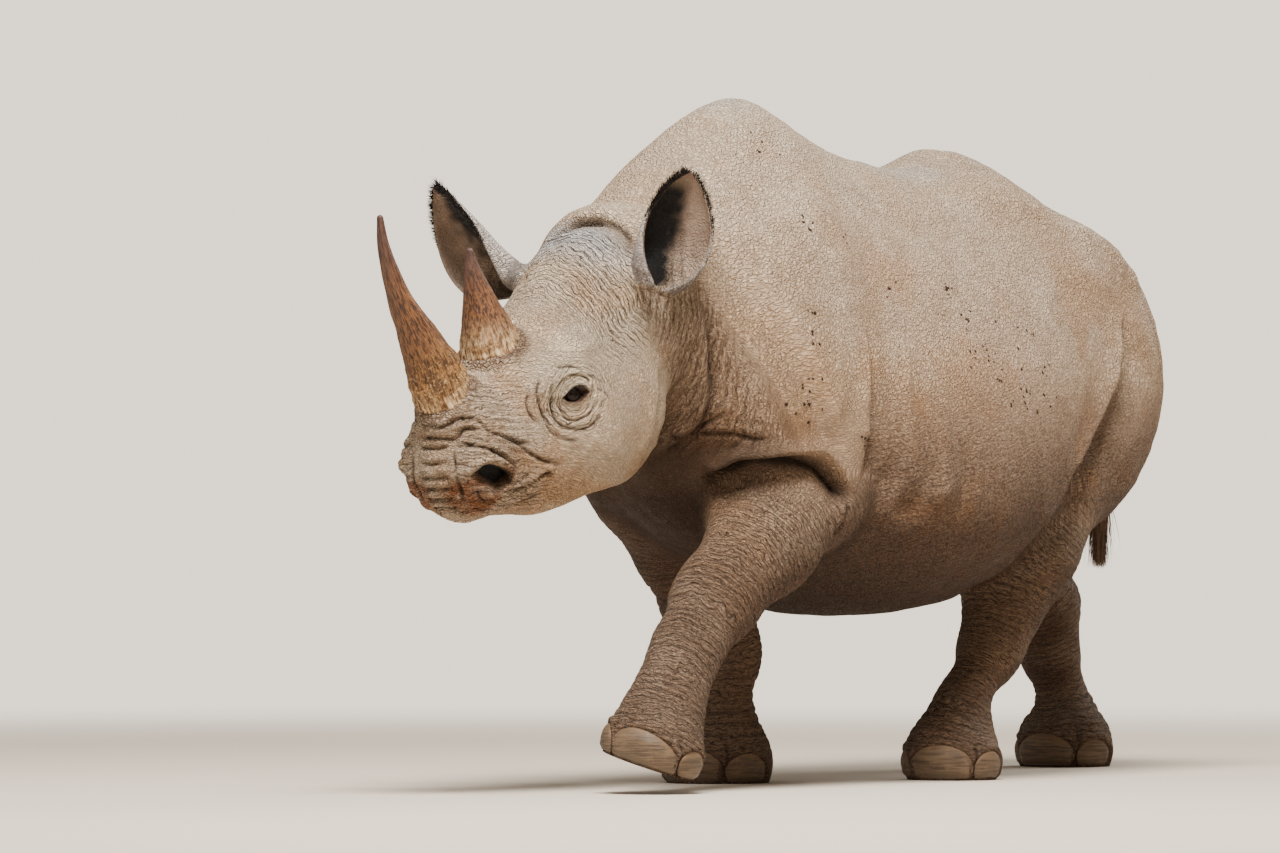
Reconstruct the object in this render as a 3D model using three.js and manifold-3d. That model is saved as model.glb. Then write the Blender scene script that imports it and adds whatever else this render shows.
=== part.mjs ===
// Black rhinoceros, life size, walking: one still animal, parted into its named members by thin cuts.
// Millimetres, +Z up. The animal faces -Y and its left side is +X. Its flesh is one smooth field,
// negative inside, and each member is a sphere's mesh wrapped onto the surface where the field is zero.
import * as THREE from 'three';
import Module from 'manifold-3d';
import { mergeVertices } from 'three/addons/utils/BufferGeometryUtils.js';

const wasm = await Module();
wasm.setup();

// ---- driving sizes -------------------------------------------------------------------------------
const GAP = 0.3;            // thin cut between neighbouring members
const FAR = 4000;           // side of a block that trims half of space away
const STEP_OUT = 10;        // stride from a member's spine towards its surface
const HALVINGS = 16;        // each halves the last stride
const WELD = 1e-3;          // points nearer than this are one

// Sides round each kind of wrapped member, rings along it, and the share of the rings in each end cap.
const MESHES = {
  torso: { sides: 28, rings: 24, cap: 0.14 },
  head: { sides: 24, rings: 22, cap: 0.14 },
  leg: { sides: 12, rings: 15, cap: 0.12 },
  horn: { sides: 10, rings: 12, cap: 0.16 },
  tube: { sides: 8, rings: 10, cap: 0.14 },
  nail: { sides: 8, cap: 0.2 },
};
const EAR_GRID = 8;
const EYE_SIDES = 8;
const EYE_RINGS = 6;

const HIDE = 0xb3a48c;
const HORN = 0x7d6549;
const NAIL = 0x6d675e;
const EYE = 0x1c1512;
const HAIR = 0x17130f;

// Animal coordinates: forward from the withers, left of the midline, up from the ground.
const at = (forward, left, up) => new THREE.Vector3(left, -forward, up);
const FORWARD = at(1, 0, 0);
const LEFT = at(0, 1, 0);
const UP = at(0, 0, 1);
const rad = THREE.MathUtils.degToRad;
const { clamp } = THREE.MathUtils;

// The back, belly and half girth at stations along the trunk, and how much narrower its top is.
const TRUNK = [
  { forward: -1550, back: 1050, belly: 850, half: 130, taper: 0 },
  { forward: -1500, back: 1130, belly: 830, half: 178, taper: 0.05 },
  { forward: -1420, back: 1228, belly: 800, half: 232, taper: 0.1 },
  { forward: -1310, back: 1336, belly: 740, half: 282, taper: 0.15 },
  { forward: -1130, back: 1400, belly: 630, half: 335, taper: 0.18 },
  { forward: -920, back: 1464, belly: 500, half: 378, taper: 0.26 },
  { forward: -640, back: 1420, belly: 400, half: 416, taper: 0.32 },
  { forward: -360, back: 1446, belly: 380, half: 412, taper: 0.38 },
  { forward: -180, back: 1488, belly: 416, half: 385, taper: 0.42 },
  { forward: 10, back: 1550, belly: 476, half: 335, taper: 0.4 },
  { forward: 220, back: 1468, belly: 590, half: 284, taper: 0.22 },
  { forward: 370, back: 1360, belly: 750, half: 236, taper: 0 },
  { forward: 460, back: 1296, belly: 850, half: 195, taper: -0.1 },
];
const TRUNK_POWER = 2.2;
const TRUNK_MASSES = [
  { centre: [-1225, 200, 930], sizes: [300, 135, 330], lean: 12 },    // haunch
  { centre: [-1105, 208, 1172], sizes: [165, 85, 85], lean: -8 },     // hip
  { centre: [125, 225, 985], sizes: [205, 112, 335], lean: 10 },      // shoulder
];
const BRISKET = { centre: [170, 0, 785], sizes: [160, 150, 190], lean: 0 };
const NECK_ROLL = { centre: [488, -5, 1138], sizes: [62, 180, 154], lean: -24 };

// The head's own frame runs from the occiput to the lips, to its left, and up to its crown.
const HEAD_PLACE = { forward: 470, left: -18, up: 1078, pitch: 32.4, turn: -6.1 };
const HEAD = [
  { along: 0, crown: 188, throat: -60, half: 118, taper: 0.1 },
  { along: 60, crown: 202, throat: -160, half: 150, taper: 0.1 },
  { along: 150, crown: 190, throat: -256, half: 164, taper: 0.12 },
  { along: 250, crown: 168, throat: -282, half: 158, taper: 0.12 },
  { along: 370, crown: 142, throat: -276, half: 138, taper: 0.08 },
  { along: 480, crown: 130, throat: -246, half: 118, taper: 0 },
  { along: 590, crown: 122, throat: -182, half: 110, taper: 0 },
  { along: 642, crown: 96, throat: -142, half: 110, taper: 0 },
  { along: 686, crown: 56, throat: -110, half: 98, taper: 0 },
];
const HEAD_POWER = 2.6;
const HEAD_BLUNT = 1.7;
const FACE_PAIRS = [
  { along: 268, aside: 98, crown: -118, sizes: [160, 72, 157] },      // cheek
  { along: 350, aside: 104, crown: 58, sizes: [112, 48, 52] },        // brow
  { along: 656, aside: 76, crown: 0, sizes: [56, 46, 62] },           // nostril
  { along: 64, aside: 138, crown: 96, sizes: [42, 42, 42] },          // root of the ear
];
const FACE_MIDDLE = [
  { along: 606, crown: 88, sizes: [84, 82, 66] },                     // front horn's seat
  { along: 436, crown: 86, sizes: [80, 84, 66] },                     // rear horn's seat
  { along: 692, crown: -56, sizes: [40, 66, 46] },                    // upper lip
  { along: 622, crown: -106, sizes: [80, 62, 34] },                   // chin
];

// The lines inside torso and head from which their surfaces are reached; the head is cut off behind.
const TORSO_SPINE = [[-1330, 0, 1010], [-1000, 0, 970], [-500, 0, 900], [160, 0, 960], [400, 0, 1040]];
const HEAD_SPINE = [[60, 0, 0], [200, 0, -10], [440, 0, -10], [610, 0, -24]];
const NAPE = 10;

// How far each join between neighbouring masses is rounded.
const TRUNK_BLEND = 100;
const NECK_BLEND = 60;
const JOINT_BLEND = 55;
const FACE_BLEND = 46;
const HORN_BLEND = 20;
const TUBE_BLEND = 12;

// Each horn's centre line in the head's middle plane, with its radius.
const HORNS = {
  horn_front: [
    { along: 612, crown: 118, radius: 64 },
    { along: 612, crown: 190, radius: 61 },
    { along: 614, crown: 256, radius: 50 },
    { along: 620, crown: 318, radius: 38 },
    { along: 625, crown: 380, radius: 28 },
    { along: 621, crown: 446, radius: 20 },
    { along: 609, crown: 514, radius: 13 },
    { along: 588, crown: 567, radius: 7 },
  ],
  horn_rear: [
    { along: 430, crown: 108, radius: 70 },
    { along: 422, crown: 145, radius: 67 },
    { along: 410, crown: 195, radius: 54 },
    { along: 398, crown: 252, radius: 36 },
    { along: 386, crown: 310, radius: 20 },
    { along: 371, crown: 355, radius: 8 },
  ],
};

// Each ear's foot in the head's frame; in animal directions its reach, its mouth's way and its bow.
const EARS = {
  ear_left: { foot: [64, 180, 74], reach: [-18, 88, 250], mouth: [0.66, 0.75, 0], bend: [-0.3, 0.26, 0] },
  ear_right: {
    foot: [75, -150, 105], reach: [130, -166, 204], mouth: [0.9, -0.4, 0], bend: [1.2, -1.85, 0],
  },
};
const EAR_SECTIONS = [
  { up: 0, wide: 40, deep: 34, wrap: 165, bow: 4 },
  { up: 0.14, wide: 65, deep: 48, wrap: 136, bow: 22 },
  { up: 0.34, wide: 78, deep: 54, wrap: 108, bow: 30 },
  { up: 0.56, wide: 77, deep: 50, wrap: 92, bow: 26 },
  { up: 0.77, wide: 57, deep: 37, wrap: 80, bow: 16 },
  { up: 0.93, wide: 30, deep: 20, wrap: 70, bow: 5 },
  { up: 1, wide: 9, deep: 7, wrap: 60, bow: 0 },
];
const EAR_THICK = 10;
const EAR_THINNING = 0.3;   // share of its thickness that an ear loses towards its tip
const EAR_SET_BACK = 0.25;  // share of its depth that lies in front of its stalk

// The neck is parted from the trunk by a plane through the withers, the jaw from the head below the lip.
const WITHERS = [250, 0, 1500];
const NECK_WAY = [-860, 0, -230];
const LIP_CORNER = [700, 0, -106];
const JAW_RISE = 0.13;

const EYE_PLACE = { along: 376, aside: 126, crown: -6, radius: 26 };

// Each leg as joints from the trunk down: forward, left, up and radius. The last is the foot's pad. The
// sole is cut flat at its lift; a lifted one also rises by its slopes forwards and to the left.
const LEGS = {
  leg_front_left: {
    joints: [[60, 195, 720, 110], [75, 215, 660, 125], [215, 208, 548, 112], [385, 190, 425, 88],
      [490, 181, 312, 66], [530, 177, 250, 62], [568, 172, 185, 72], [608, 170, 100, 112]],
    mass: { centre: [95, 205, 668], sizes: [205, 118, 108], lean: -28 },
    lift: 57, slope: [0.14, -0.3], turn: 20,
  },
  leg_front_right: {
    joints: [[80, -170, 730, 110], [50, -180, 670, 112], [-50, -172, 540, 100], [-118, -152, 400, 88],
      [-158, -142, 300, 84], [-142, -140, 150, 70], [-150, -140, 46, 126]],
    mass: { centre: [50, -178, 680], sizes: [120, 112, 130], lean: 0 },
    lift: 0, slope: [0, 0], turn: 4,
  },
  leg_hind_left: {
    joints: [[-1100, 190, 800, 165], [-925, 208, 545, 132], [-872, 200, 418, 90],
      [-816, 195, 300, 67], [-690, 191, 182, 50], [-643, 190, 50, 113]],
    mass: { centre: [-1150, 195, 848], sizes: [395, 168, 264], lean: -40 },
    lift: 0, slope: [0, 0], turn: 15,
  },
  leg_hind_right: {
    joints: [[-1270, -190, 800, 165], [-1400, -185, 610, 142], [-1655, -157, 400, 86],
      [-1702, -150, 270, 62], [-1752, -138, 162, 50], [-1738, -132, 50, 118]],
    mass: { centre: [-1250, -195, 840], sizes: [350, 168, 310], lean: 30 },
    lift: 0, slope: [0, 0], turn: 0,
  },
};

// Three nails stand round the front of each foot: the swing from its heading and the half width are
// in degrees. Their outlines are ovals cut off level just above the sole.
const NAILS = [
  { name: 'middle', swing: 0, half: 42, top: 82, rings: 6 },
  { name: 'outer', swing: 70, half: 26, top: 68, rings: 5 },
  { name: 'inner', swing: -70, half: 26, top: 68, rings: 5 },
];
const NAIL_PROUD = 6;
const NAIL_DEEP = 11;
const NAIL_FOOT = 5;
const NAIL_BELLY = 26;      // height of the oval's middle
const NAIL_CORE = 37;       // height of the spine it is wrapped round
const NAIL_SUNK = 4;        // and how far inside the foot's wall that runs
const NAIL_SPINE = [-0.72, -0.36, 0, 0.36, 0.72];

const TAIL = [[-1470, 0, 1070, 62], [-1560, 0, 1000, 42], [-1630, 0, 880, 28], [-1668, 0, 750, 20],
  [-1676, 0, 655, 15]];
const TUFT = [[-1676, 0, 640, 16], [-1678, 0, 585, 24], [-1680, 0, 530, 16], [-1681, 0, 490, 6]];

// ---- fields --------------------------------------------------------------------------------------
// A smooth curve through the stations' values of one key, flat beyond the ends.
function between(stations, place, key, where) {
  const last = stations.length - 1;
  const x = clamp(where, stations[0][place], stations[last][place]);
  let i = 0;
  while (i < last - 1 && x > stations[i + 1][place]) i += 1;
  const slope = (j) => {
    const before = stations[Math.max(j - 1, 0)];
    const after = stations[Math.min(j + 1, last)];
    return (after[key] - before[key]) / (after[place] - before[place]);
  };
  const [p, q] = [stations[i], stations[i + 1]];
  const span = q[place] - p[place];
  const t = (x - p[place]) / span;
  return p[key] * (1 + 2 * t) * (1 - t) ** 2 + q[key] * t * t * (3 - 2 * t)
    + span * t * (1 - t) * (slope(i) * (1 - t) - slope(i + 1) * t);
}

// A body with an oval section at every station and a round cap past each end. The frame's three
// functions give a point's place along the body, across it and up it.
function loft(stations, place, frame, top, bottom, power, blunt = 1) {
  const first = stations[0][place];
  const last = stations[stations.length - 1][place];
  return (p) => {
    const [s, x, z] = frame.map((measure) => measure(p));
    const keys = [top, bottom, 'half', 'taper'];
    const [high, low, half, taper] = keys.map((key) => between(stations, place, key, s));
    const tall = (high - low) / 2;
    const v = (z - (high + low) / 2) / tall;
    const wide = half * (1 - taper * clamp(v, -1, 1));
    const ring = (Math.abs(x / wide) ** power + Math.abs(v) ** power) ** (1 / power);
    const girth = Math.min(half, tall);
    const beyond = Math.max(first - s, s - last, 0) * blunt / girth;
    return (Math.hypot(ring, beyond) - 1) * girth;
  };
}

// Round at each end and tapered between.
function limb(a, ra, b, rb) {
  const axis = b.clone().sub(a);
  const length = axis.length();
  axis.normalize();
  const lean = (ra - rb) / length;
  const slant = Math.sqrt(1 - lean * lean);
  return (p) => {
    const q = p.clone().sub(a);
    const along = q.dot(axis);
    const out = Math.sqrt(Math.max(q.lengthSq() - along * along, 0));
    const t = clamp((along - out * lean / slant) / length, 0, 1);
    return Math.hypot(out, along - t * length) - ra - (rb - ra) * t;
  };
}

function chain(joints, reach) {
  const parts = [];
  for (let i = 0; i + 1 < joints.length; i += 1) {
    const [f0, l0, u0, r0] = joints[i];
    const [f1, l1, u1, r1] = joints[i + 1];
    parts.push(limb(at(f0, l0, u0), r0, at(f1, l1, u1), r1));
  }
  return blend(reach, parts);
}

function egg(centre, sizes, axes = [FORWARD, LEFT, UP]) {
  return (p) => {
    const q = p.clone().sub(centre);
    const u = axes.map((axis, i) => q.dot(axis) / sizes[i]);
    const near = Math.hypot(...u);
    const steep = Math.hypot(...u.map((value, i) => value / sizes[i]));
    return near < 1e-6 ? -Math.min(...sizes) : near * (near - 1) / steep;
  };
}

function smoothMin(a, b, reach) {
  const h = Math.max(reach - Math.abs(a - b), 0) / reach;
  return Math.min(a, b) - h * h * reach / 4;
}

function blend(reach, fields) {
  return (p) => fields.map((field) => field(p)).reduce((a, b) => smoothMin(a, b, reach));
}

const leaned = (degrees) => {
  const [c, s] = [Math.cos(rad(degrees)), Math.sin(rad(degrees))];
  return [at(c, 0, s), LEFT, at(-s, 0, c)];
};
const bothSides = (make) => [make(1), make(-1)];

// ---- the flesh -----------------------------------------------------------------------------------
const barrel = loft(TRUNK, 'forward', [(p) => -p.y, (p) => p.x, (p) => p.z], 'back', 'belly', TRUNK_POWER);
const bodyEgg = ({ centre: [forward, left, up], sizes, lean }, side = 1) =>
  egg(at(forward, side * left, up), sizes, leaned(lean));
const trunkField = blend(TRUNK_BLEND, [
  barrel,
  ...TRUNK_MASSES.flatMap((mass) => bothSides((side) => bodyEgg(mass, side))),
  bodyEgg(BRISKET),
]);
const torso = blend(NECK_BLEND, [trunkField, bodyEgg(NECK_ROLL)]);

const head = (() => {
  const [pitch, turn] = [rad(HEAD_PLACE.pitch), rad(HEAD_PLACE.turn)];
  const along = at(Math.cos(pitch) * Math.cos(turn), Math.cos(pitch) * Math.sin(turn), -Math.sin(pitch));
  const left = at(-Math.sin(turn), Math.cos(turn), 0);
  const crown = new THREE.Vector3().crossVectors(along, left);
  const origin = at(HEAD_PLACE.forward, HEAD_PLACE.left, HEAD_PLACE.up);
  return { along, left, crown, origin };
})();
const headAxes = [head.along, head.left, head.crown];
const headFrame = headAxes.map((axis) => (p) => p.dot(axis) - head.origin.dot(axis));
const inHead = (along, left, crown) => head.origin.clone()
  .addScaledVector(head.along, along).addScaledVector(head.left, left).addScaledVector(head.crown, crown);

const headEgg = ({ along, aside = 0, crown, sizes }, side = 1) =>
  egg(inHead(along, side * aside, crown), sizes, headAxes);
const face = blend(FACE_BLEND, [
  loft(HEAD, 'along', headFrame, 'crown', 'throat', HEAD_POWER, HEAD_BLUNT),
  ...FACE_PAIRS.flatMap((mass) => bothSides((side) => headEgg(mass, side))),
  ...FACE_MIDDLE.map((mass) => headEgg(mass)),
]);
const legFields = Object.fromEntries(Object.entries(LEGS).map(([name, { joints, mass }]) => [name,
  blend(NECK_BLEND, [chain(joints, JOINT_BLEND), bodyEgg(mass)])]));

// A plane is a point on it and the direction out of the block it bounds.
const plane = (point, out) => ({ point, out: out.clone().normalize() });
const flip = ({ point, out }) => ({ point, out: out.clone().negate() });
const NECK_CUT = plane(at(...WITHERS), at(...NECK_WAY));
const JAW_CUT = plane(inHead(...LIP_CORNER), head.crown.clone().addScaledVector(head.along, -JAW_RISE));

// ---- solids --------------------------------------------------------------------------------------
function solid(geometry) {
  const bare = geometry.clone();
  bare.deleteAttribute('normal');
  bare.deleteAttribute('uv');
  const merged = mergeVertices(bare, WELD);
  return new wasm.Manifold(new wasm.Mesh({
    numProp: 3,
    vertProperties: new Float32Array(merged.attributes.position.array),
    triVerts: new Uint32Array(merged.index.array),
  }));
}

// The block on the inner side of a plane, moved out by grow.
function block({ point, out }, grow = 0) {
  const geometry = new THREE.BoxGeometry(FAR, FAR, FAR);
  geometry.translate(0, 0, -FAR / 2);
  geometry.applyQuaternion(new THREE.Quaternion().setFromUnitVectors(UP, out));
  const corner = point.clone().addScaledVector(out, grow);
  return solid(geometry.translate(corner.x, corner.y, corner.z));
}

// Wraps a sphere's mesh round a spine: each of its points goes out from the spine to the surface.
function wrap(field, spine, { sides, rings, cap }, side = LEFT) {
  const curve = new THREE.CatmullRomCurve3(spine);
  const geometry = new THREE.SphereGeometry(1, sides, rings);
  const position = geometry.attributes.position;
  const row = sides + 1;
  const reached = (start, ray, reach) => field(start.clone().addScaledVector(ray, reach)) >= 0;
  for (let i = 0; i < position.count; i += 1) {
    const v = Math.floor(i / row) / rings;
    const around = ((i % row) % sides) / sides * 2 * Math.PI;
    const t = clamp((v - cap) / (1 - 2 * cap), 0, 1);
    const opening = clamp(Math.min(v, 1 - v) / cap, 0, 1) * Math.PI / 2;
    const tangent = curve.getTangentAt(t);
    const across = side.clone().addScaledVector(tangent, -side.dot(tangent)).normalize();
    const above = new THREE.Vector3().crossVectors(tangent, across);
    const ray = tangent.multiplyScalar(Math.cos(opening) * (v < 0.5 ? -1 : 1))
      .addScaledVector(across, Math.sin(opening) * Math.cos(around))
      .addScaledVector(above, -Math.sin(opening) * Math.sin(around));
    const start = curve.getPointAt(t);
    let low = 0;
    while (!reached(start, ray, low + STEP_OUT)) low += STEP_OUT;
    let high = low + STEP_OUT;
    for (let n = 0; n < HALVINGS; n += 1) {
      const middle = (low + high) / 2;
      if (reached(start, ray, middle)) high = middle;
      else low = middle;
    }
    const hit = start.addScaledVector(ray, high);
    position.setXYZ(i, hit.x, hit.y, hit.z);
  }
  return solid(geometry);
}

// ---- members -------------------------------------------------------------------------------------
const group = new THREE.Group();
function add(name, shape, color, roughness = 0.85) {
  const mesh = shape.getMesh();
  const geometry = new THREE.BufferGeometry();
  geometry.setAttribute('position', new THREE.BufferAttribute(mesh.vertProperties, 3));
  geometry.setIndex(new THREE.BufferAttribute(mesh.triVerts, 1));
  const node = new THREE.Mesh(geometry, new THREE.MeshStandardMaterial({ color, roughness, metalness: 0 }));
  node.name = name;
  group.add(node);
}

// A horn wrapped round its own centre line. Grown, it is the tool that seats it in the head.
function horn(stations, grow = 0) {
  const joints = stations.map(({ along, crown }) => inHead(along, 0, crown));
  const parts = stations.slice(1).map((station, i) =>
    limb(joints[i], stations[i].radius, joints[i + 1], station.radius));
  const field = blend(HORN_BLEND, parts);
  return wrap((p) => field(p) - grow, joints, MESHES.horn);
}

// An ear is a leaf rolled into a trumpet: a thick sheet bent round the line from its foot to its tip.
function ear({ foot, reach, mouth, bend }) {
  const base = inHead(...foot);
  const rise = at(...reach);
  const tall = rise.length();
  const up = rise.clone().normalize();
  const squareTo = (way) => at(...way).addScaledVector(up, -at(...way).dot(up));
  const open = squareTo(mouth).normalize();
  const side = new THREE.Vector3().crossVectors(up, open);
  const out = squareTo(bend);
  const geometry = new THREE.BoxGeometry(2, 1, 1, EAR_GRID, EAR_GRID, 1).translate(0, 0.5, 0);
  const position = geometry.attributes.position;
  for (let i = 0; i < position.count; i += 1) {
    const u = position.getY(i);
    const keys = ['wide', 'deep', 'wrap', 'bow'];
    const [wide, deep, turn, bow] = keys.map((key) => between(EAR_SECTIONS, 'up', key, u));
    const round = position.getX(i) * rad(turn);
    const thin = position.getZ(i) * EAR_THICK * (1 - EAR_THINNING * u);
    const point = base.clone().addScaledVector(up, u * tall).addScaledVector(out, bow)
      .addScaledVector(side, -(wide + thin) * Math.sin(round))
      .addScaledVector(open, -(deep + thin) * Math.cos(round) + deep * EAR_SET_BACK);
    position.setXYZ(i, point.x, point.y, point.z);
  }
  return solid(geometry);
}

const eyeBall = (side, grow = 0) => {
  const centre = inHead(EYE_PLACE.along, side * EYE_PLACE.aside, EYE_PLACE.crown);
  return solid(new THREE.SphereGeometry(EYE_PLACE.radius + grow, EYE_SIDES, EYE_RINGS).translate(...centre));
};

const headSpine = HEAD_SPINE.map((place) => inHead(...place));
const nape = plane(inHead(NAPE, 0, 0), head.along.clone().negate());
const headShape = (grow) => wrap((p) => face(p) - grow, headSpine, MESHES.head).intersect(block(nape, grow));
const headTool = headShape(GAP);
let headSolid = headShape(0);
for (const [name, stations] of Object.entries(HORNS)) {
  add(name, horn(stations), HORN, 0.6);
  headSolid = headSolid.subtract(horn(stations, GAP));
}
for (const [name, side] of [['eye_left', 1], ['eye_right', -1]]) {
  add(name, eyeBall(side), EYE, 0.1);
  headSolid = headSolid.subtract(eyeBall(side, GAP));
}
add('head', headSolid.intersect(block(flip(JAW_CUT), -GAP / 2)), HIDE);
add('jaw', headSolid.intersect(block(JAW_CUT, -GAP / 2)), HIDE);
const tube = (joints, grow = 0) =>
  wrap((p) => chain(joints, TUBE_BLEND)(p) - grow, joints.map(([f, l, u]) => at(f, l, u)), MESHES.tube);
add('tail', tube(TAIL), HIDE);
add('tail_tuft', tube(TUFT).subtract(tube(TAIL, GAP)), HAIR);

const legSolid = (name, grow = 0) => {
  const { joints, lift, slope } = LEGS[name];
  const [forward, left] = joints[joints.length - 1];
  const spine = joints.map(([f, l, u]) => at(f, l, u));
  const sole = plane(at(forward, left, lift), at(...slope, -1));
  return wrap((p) => legFields[name](p) - grow, spine, MESHES.leg).intersect(block(sole));
};

// A nail is the part of the foot's wall, a little proud and a little deep, inside its oval.
function nail(name, { swing, half, top, rings }, grow = 0) {
  const { joints, lift, slope, turn } = LEGS[name];
  const [forward, left, , radius] = joints[joints.length - 1];
  const heading = rad(turn + swing) * Math.sign(left);
  const middle = at(forward, left, lift);
  const rise = (ahead, aside) => slope[0] * ahead + slope[1] * aside;
  const outline = (p) => {
    const q = p.clone().sub(middle);
    const [ahead, aside] = [q.dot(FORWARD), q.dot(LEFT)];
    const spin = Math.atan2(aside, ahead) - heading;
    const round = Math.atan2(Math.sin(spin), Math.cos(spin));
    const height = q.z - rise(ahead, aside);
    const oval = Math.hypot(round / rad(half), (height - NAIL_BELLY) / (top - NAIL_BELLY)) - 1;
    return Math.max(oval * (top - NAIL_BELLY), NAIL_FOOT - height);
  };
  const foot = legFields[name];
  const field = (p) => Math.max(outline(p), foot(p) - NAIL_PROUD, -foot(p) - NAIL_DEEP) - grow;
  const spine = NAIL_SPINE.map((share) => {
    const angle = heading + share * rad(half);
    const ahead = (radius - NAIL_SUNK) * Math.cos(angle);
    const aside = (radius - NAIL_SUNK) * Math.sin(angle);
    return middle.clone().add(at(ahead, aside, rise(ahead, aside) + NAIL_CORE));
  });
  return wrap(field, spine, { ...MESHES.nail, rings }, UP);
}

const torsoSpine = TORSO_SPINE.map((place) => at(...place));
const torsoShape = (grow) => wrap((p) => torso(p) - grow, torsoSpine, MESHES.torso);
const earSeat = headTool.add(torsoShape(GAP));
for (const [name, shape] of Object.entries(EARS)) {
  const pieces = ear(shape).subtract(earSeat).decompose();
  pieces.sort((a, b) => b.volume() - a.volume());
  add(name, pieces[0], HIDE);
}

const sockets = [...Object.keys(LEGS).map((name) => legSolid(name, GAP)), headTool, tube(TAIL, GAP)];
const torsoSolid = sockets.reduce((shape, socket) => shape.subtract(socket), torsoShape(0));
add('neck', torsoSolid.intersect(block(NECK_CUT, -GAP / 2)), HIDE);
add('trunk', torsoSolid.intersect(block(flip(NECK_CUT), -GAP / 2)), HIDE);
for (const name of Object.keys(LEGS)) {
  let leg = legSolid(name);
  for (const each of NAILS) {
    add(`${name.replace('leg', 'nail')}_${each.name}`, nail(name, each), NAIL, 0.55);
    leg = leg.subtract(nail(name, each, GAP));
  }
  add(name, leg, HIDE);
}

// The ground's origin is under the middle of the whole animal.
const bounds = new THREE.Box3().setFromObject(group);
const middle = bounds.getCenter(new THREE.Vector3());
for (const node of group.children) node.position.set(-middle.x, -middle.y, -bounds.min.z);

export default group;
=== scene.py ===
"""Looks of the walking black rhinoceros: one skin over the solids, with eyes, horns, nails and hair."""

from functools import reduce
import math

import bpy
import numpy as np
import openvdb as vdb
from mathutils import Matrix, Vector

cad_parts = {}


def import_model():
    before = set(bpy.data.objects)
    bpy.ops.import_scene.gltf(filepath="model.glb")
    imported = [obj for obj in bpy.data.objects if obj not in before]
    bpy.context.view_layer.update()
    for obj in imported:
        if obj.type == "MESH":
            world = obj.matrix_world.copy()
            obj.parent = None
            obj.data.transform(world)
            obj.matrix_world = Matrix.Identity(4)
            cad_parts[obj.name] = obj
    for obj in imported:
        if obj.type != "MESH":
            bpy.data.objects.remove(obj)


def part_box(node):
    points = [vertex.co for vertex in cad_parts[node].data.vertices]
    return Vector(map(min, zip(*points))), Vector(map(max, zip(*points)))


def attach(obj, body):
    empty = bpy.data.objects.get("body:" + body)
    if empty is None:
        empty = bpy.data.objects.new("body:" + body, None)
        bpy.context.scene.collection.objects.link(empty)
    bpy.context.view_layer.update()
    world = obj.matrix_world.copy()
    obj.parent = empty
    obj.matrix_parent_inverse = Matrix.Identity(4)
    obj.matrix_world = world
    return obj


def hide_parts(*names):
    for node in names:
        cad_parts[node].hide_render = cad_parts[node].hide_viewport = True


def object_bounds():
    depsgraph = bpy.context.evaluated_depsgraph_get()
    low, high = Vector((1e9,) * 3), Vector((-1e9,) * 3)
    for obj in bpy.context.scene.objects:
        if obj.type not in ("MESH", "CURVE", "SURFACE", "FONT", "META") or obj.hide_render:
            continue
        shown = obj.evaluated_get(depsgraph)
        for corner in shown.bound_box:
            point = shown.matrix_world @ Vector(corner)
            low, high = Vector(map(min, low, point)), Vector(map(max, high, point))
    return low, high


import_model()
cad_low, cad_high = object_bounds()

MM = 0.001

# ---- animal coordinates ----------------------------------------------------------------------------
# Fields work in millimetres: x to the animal's left, y backwards from the withers, z up from the ground.


def at(forward, left, up):
    return np.array([left, -forward, up], float)


BODY_AXES = np.array([at(1, 0, 0), at(0, 1, 0), at(0, 0, 1)])
LEFT = at(0, 1, 0)

HEAD_PLACE = {"forward": 470, "left": -18, "up": 1078, "pitch": 32.4, "turn": -6.1}
pitch, turn = (math.radians(HEAD_PLACE[k]) for k in ("pitch", "turn"))
ALONG = at(math.cos(pitch) * math.cos(turn), math.cos(pitch) * math.sin(turn), -math.sin(pitch))
ASIDE = at(-math.sin(turn), math.cos(turn), 0)
CROWN = np.cross(ALONG, ASIDE)
HEAD_AT = at(*(HEAD_PLACE[k] for k in ("forward", "left", "up")))
HEAD_AXES = np.array([ALONG, ASIDE, CROWN])


def in_head(along, left, crown):
    return HEAD_AT + along * ALONG + left * ASIDE + crown * CROWN


EYE = {"along": 376, "aside": 126, "crown": -6}
eye_low, eye_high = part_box("eye_left")
ORIGIN = np.array((eye_low + eye_high) / 2) - MM * in_head(EYE["along"], EYE["aside"], EYE["crown"])


def world(p):
    return np.asarray(p) * MM + ORIGIN


def cos_sin(degrees):
    return math.cos(math.radians(degrees)), math.sin(math.radians(degrees))


def wrapped(angle):
    """The same angle between minus and plus half a turn."""
    return np.arctan2(np.sin(angle), np.cos(angle))


def unit(v):
    return v / np.maximum(np.linalg.norm(v, axis=-1, keepdims=True), 1e-12)


def soft(x, start, end):
    """A smooth step from 0 at the start to 1 at the end, which may lie below the start."""
    t = np.clip((x - start) / (end - start), 0, 1)
    return t * t * (3 - 2 * t)


def hill(d, width):
    return np.exp(-(d / width) ** 2)


def in_box(p, low, high, margin=0.0):
    return ((p > low - margin) & (p < high + margin)).all(1)


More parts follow.
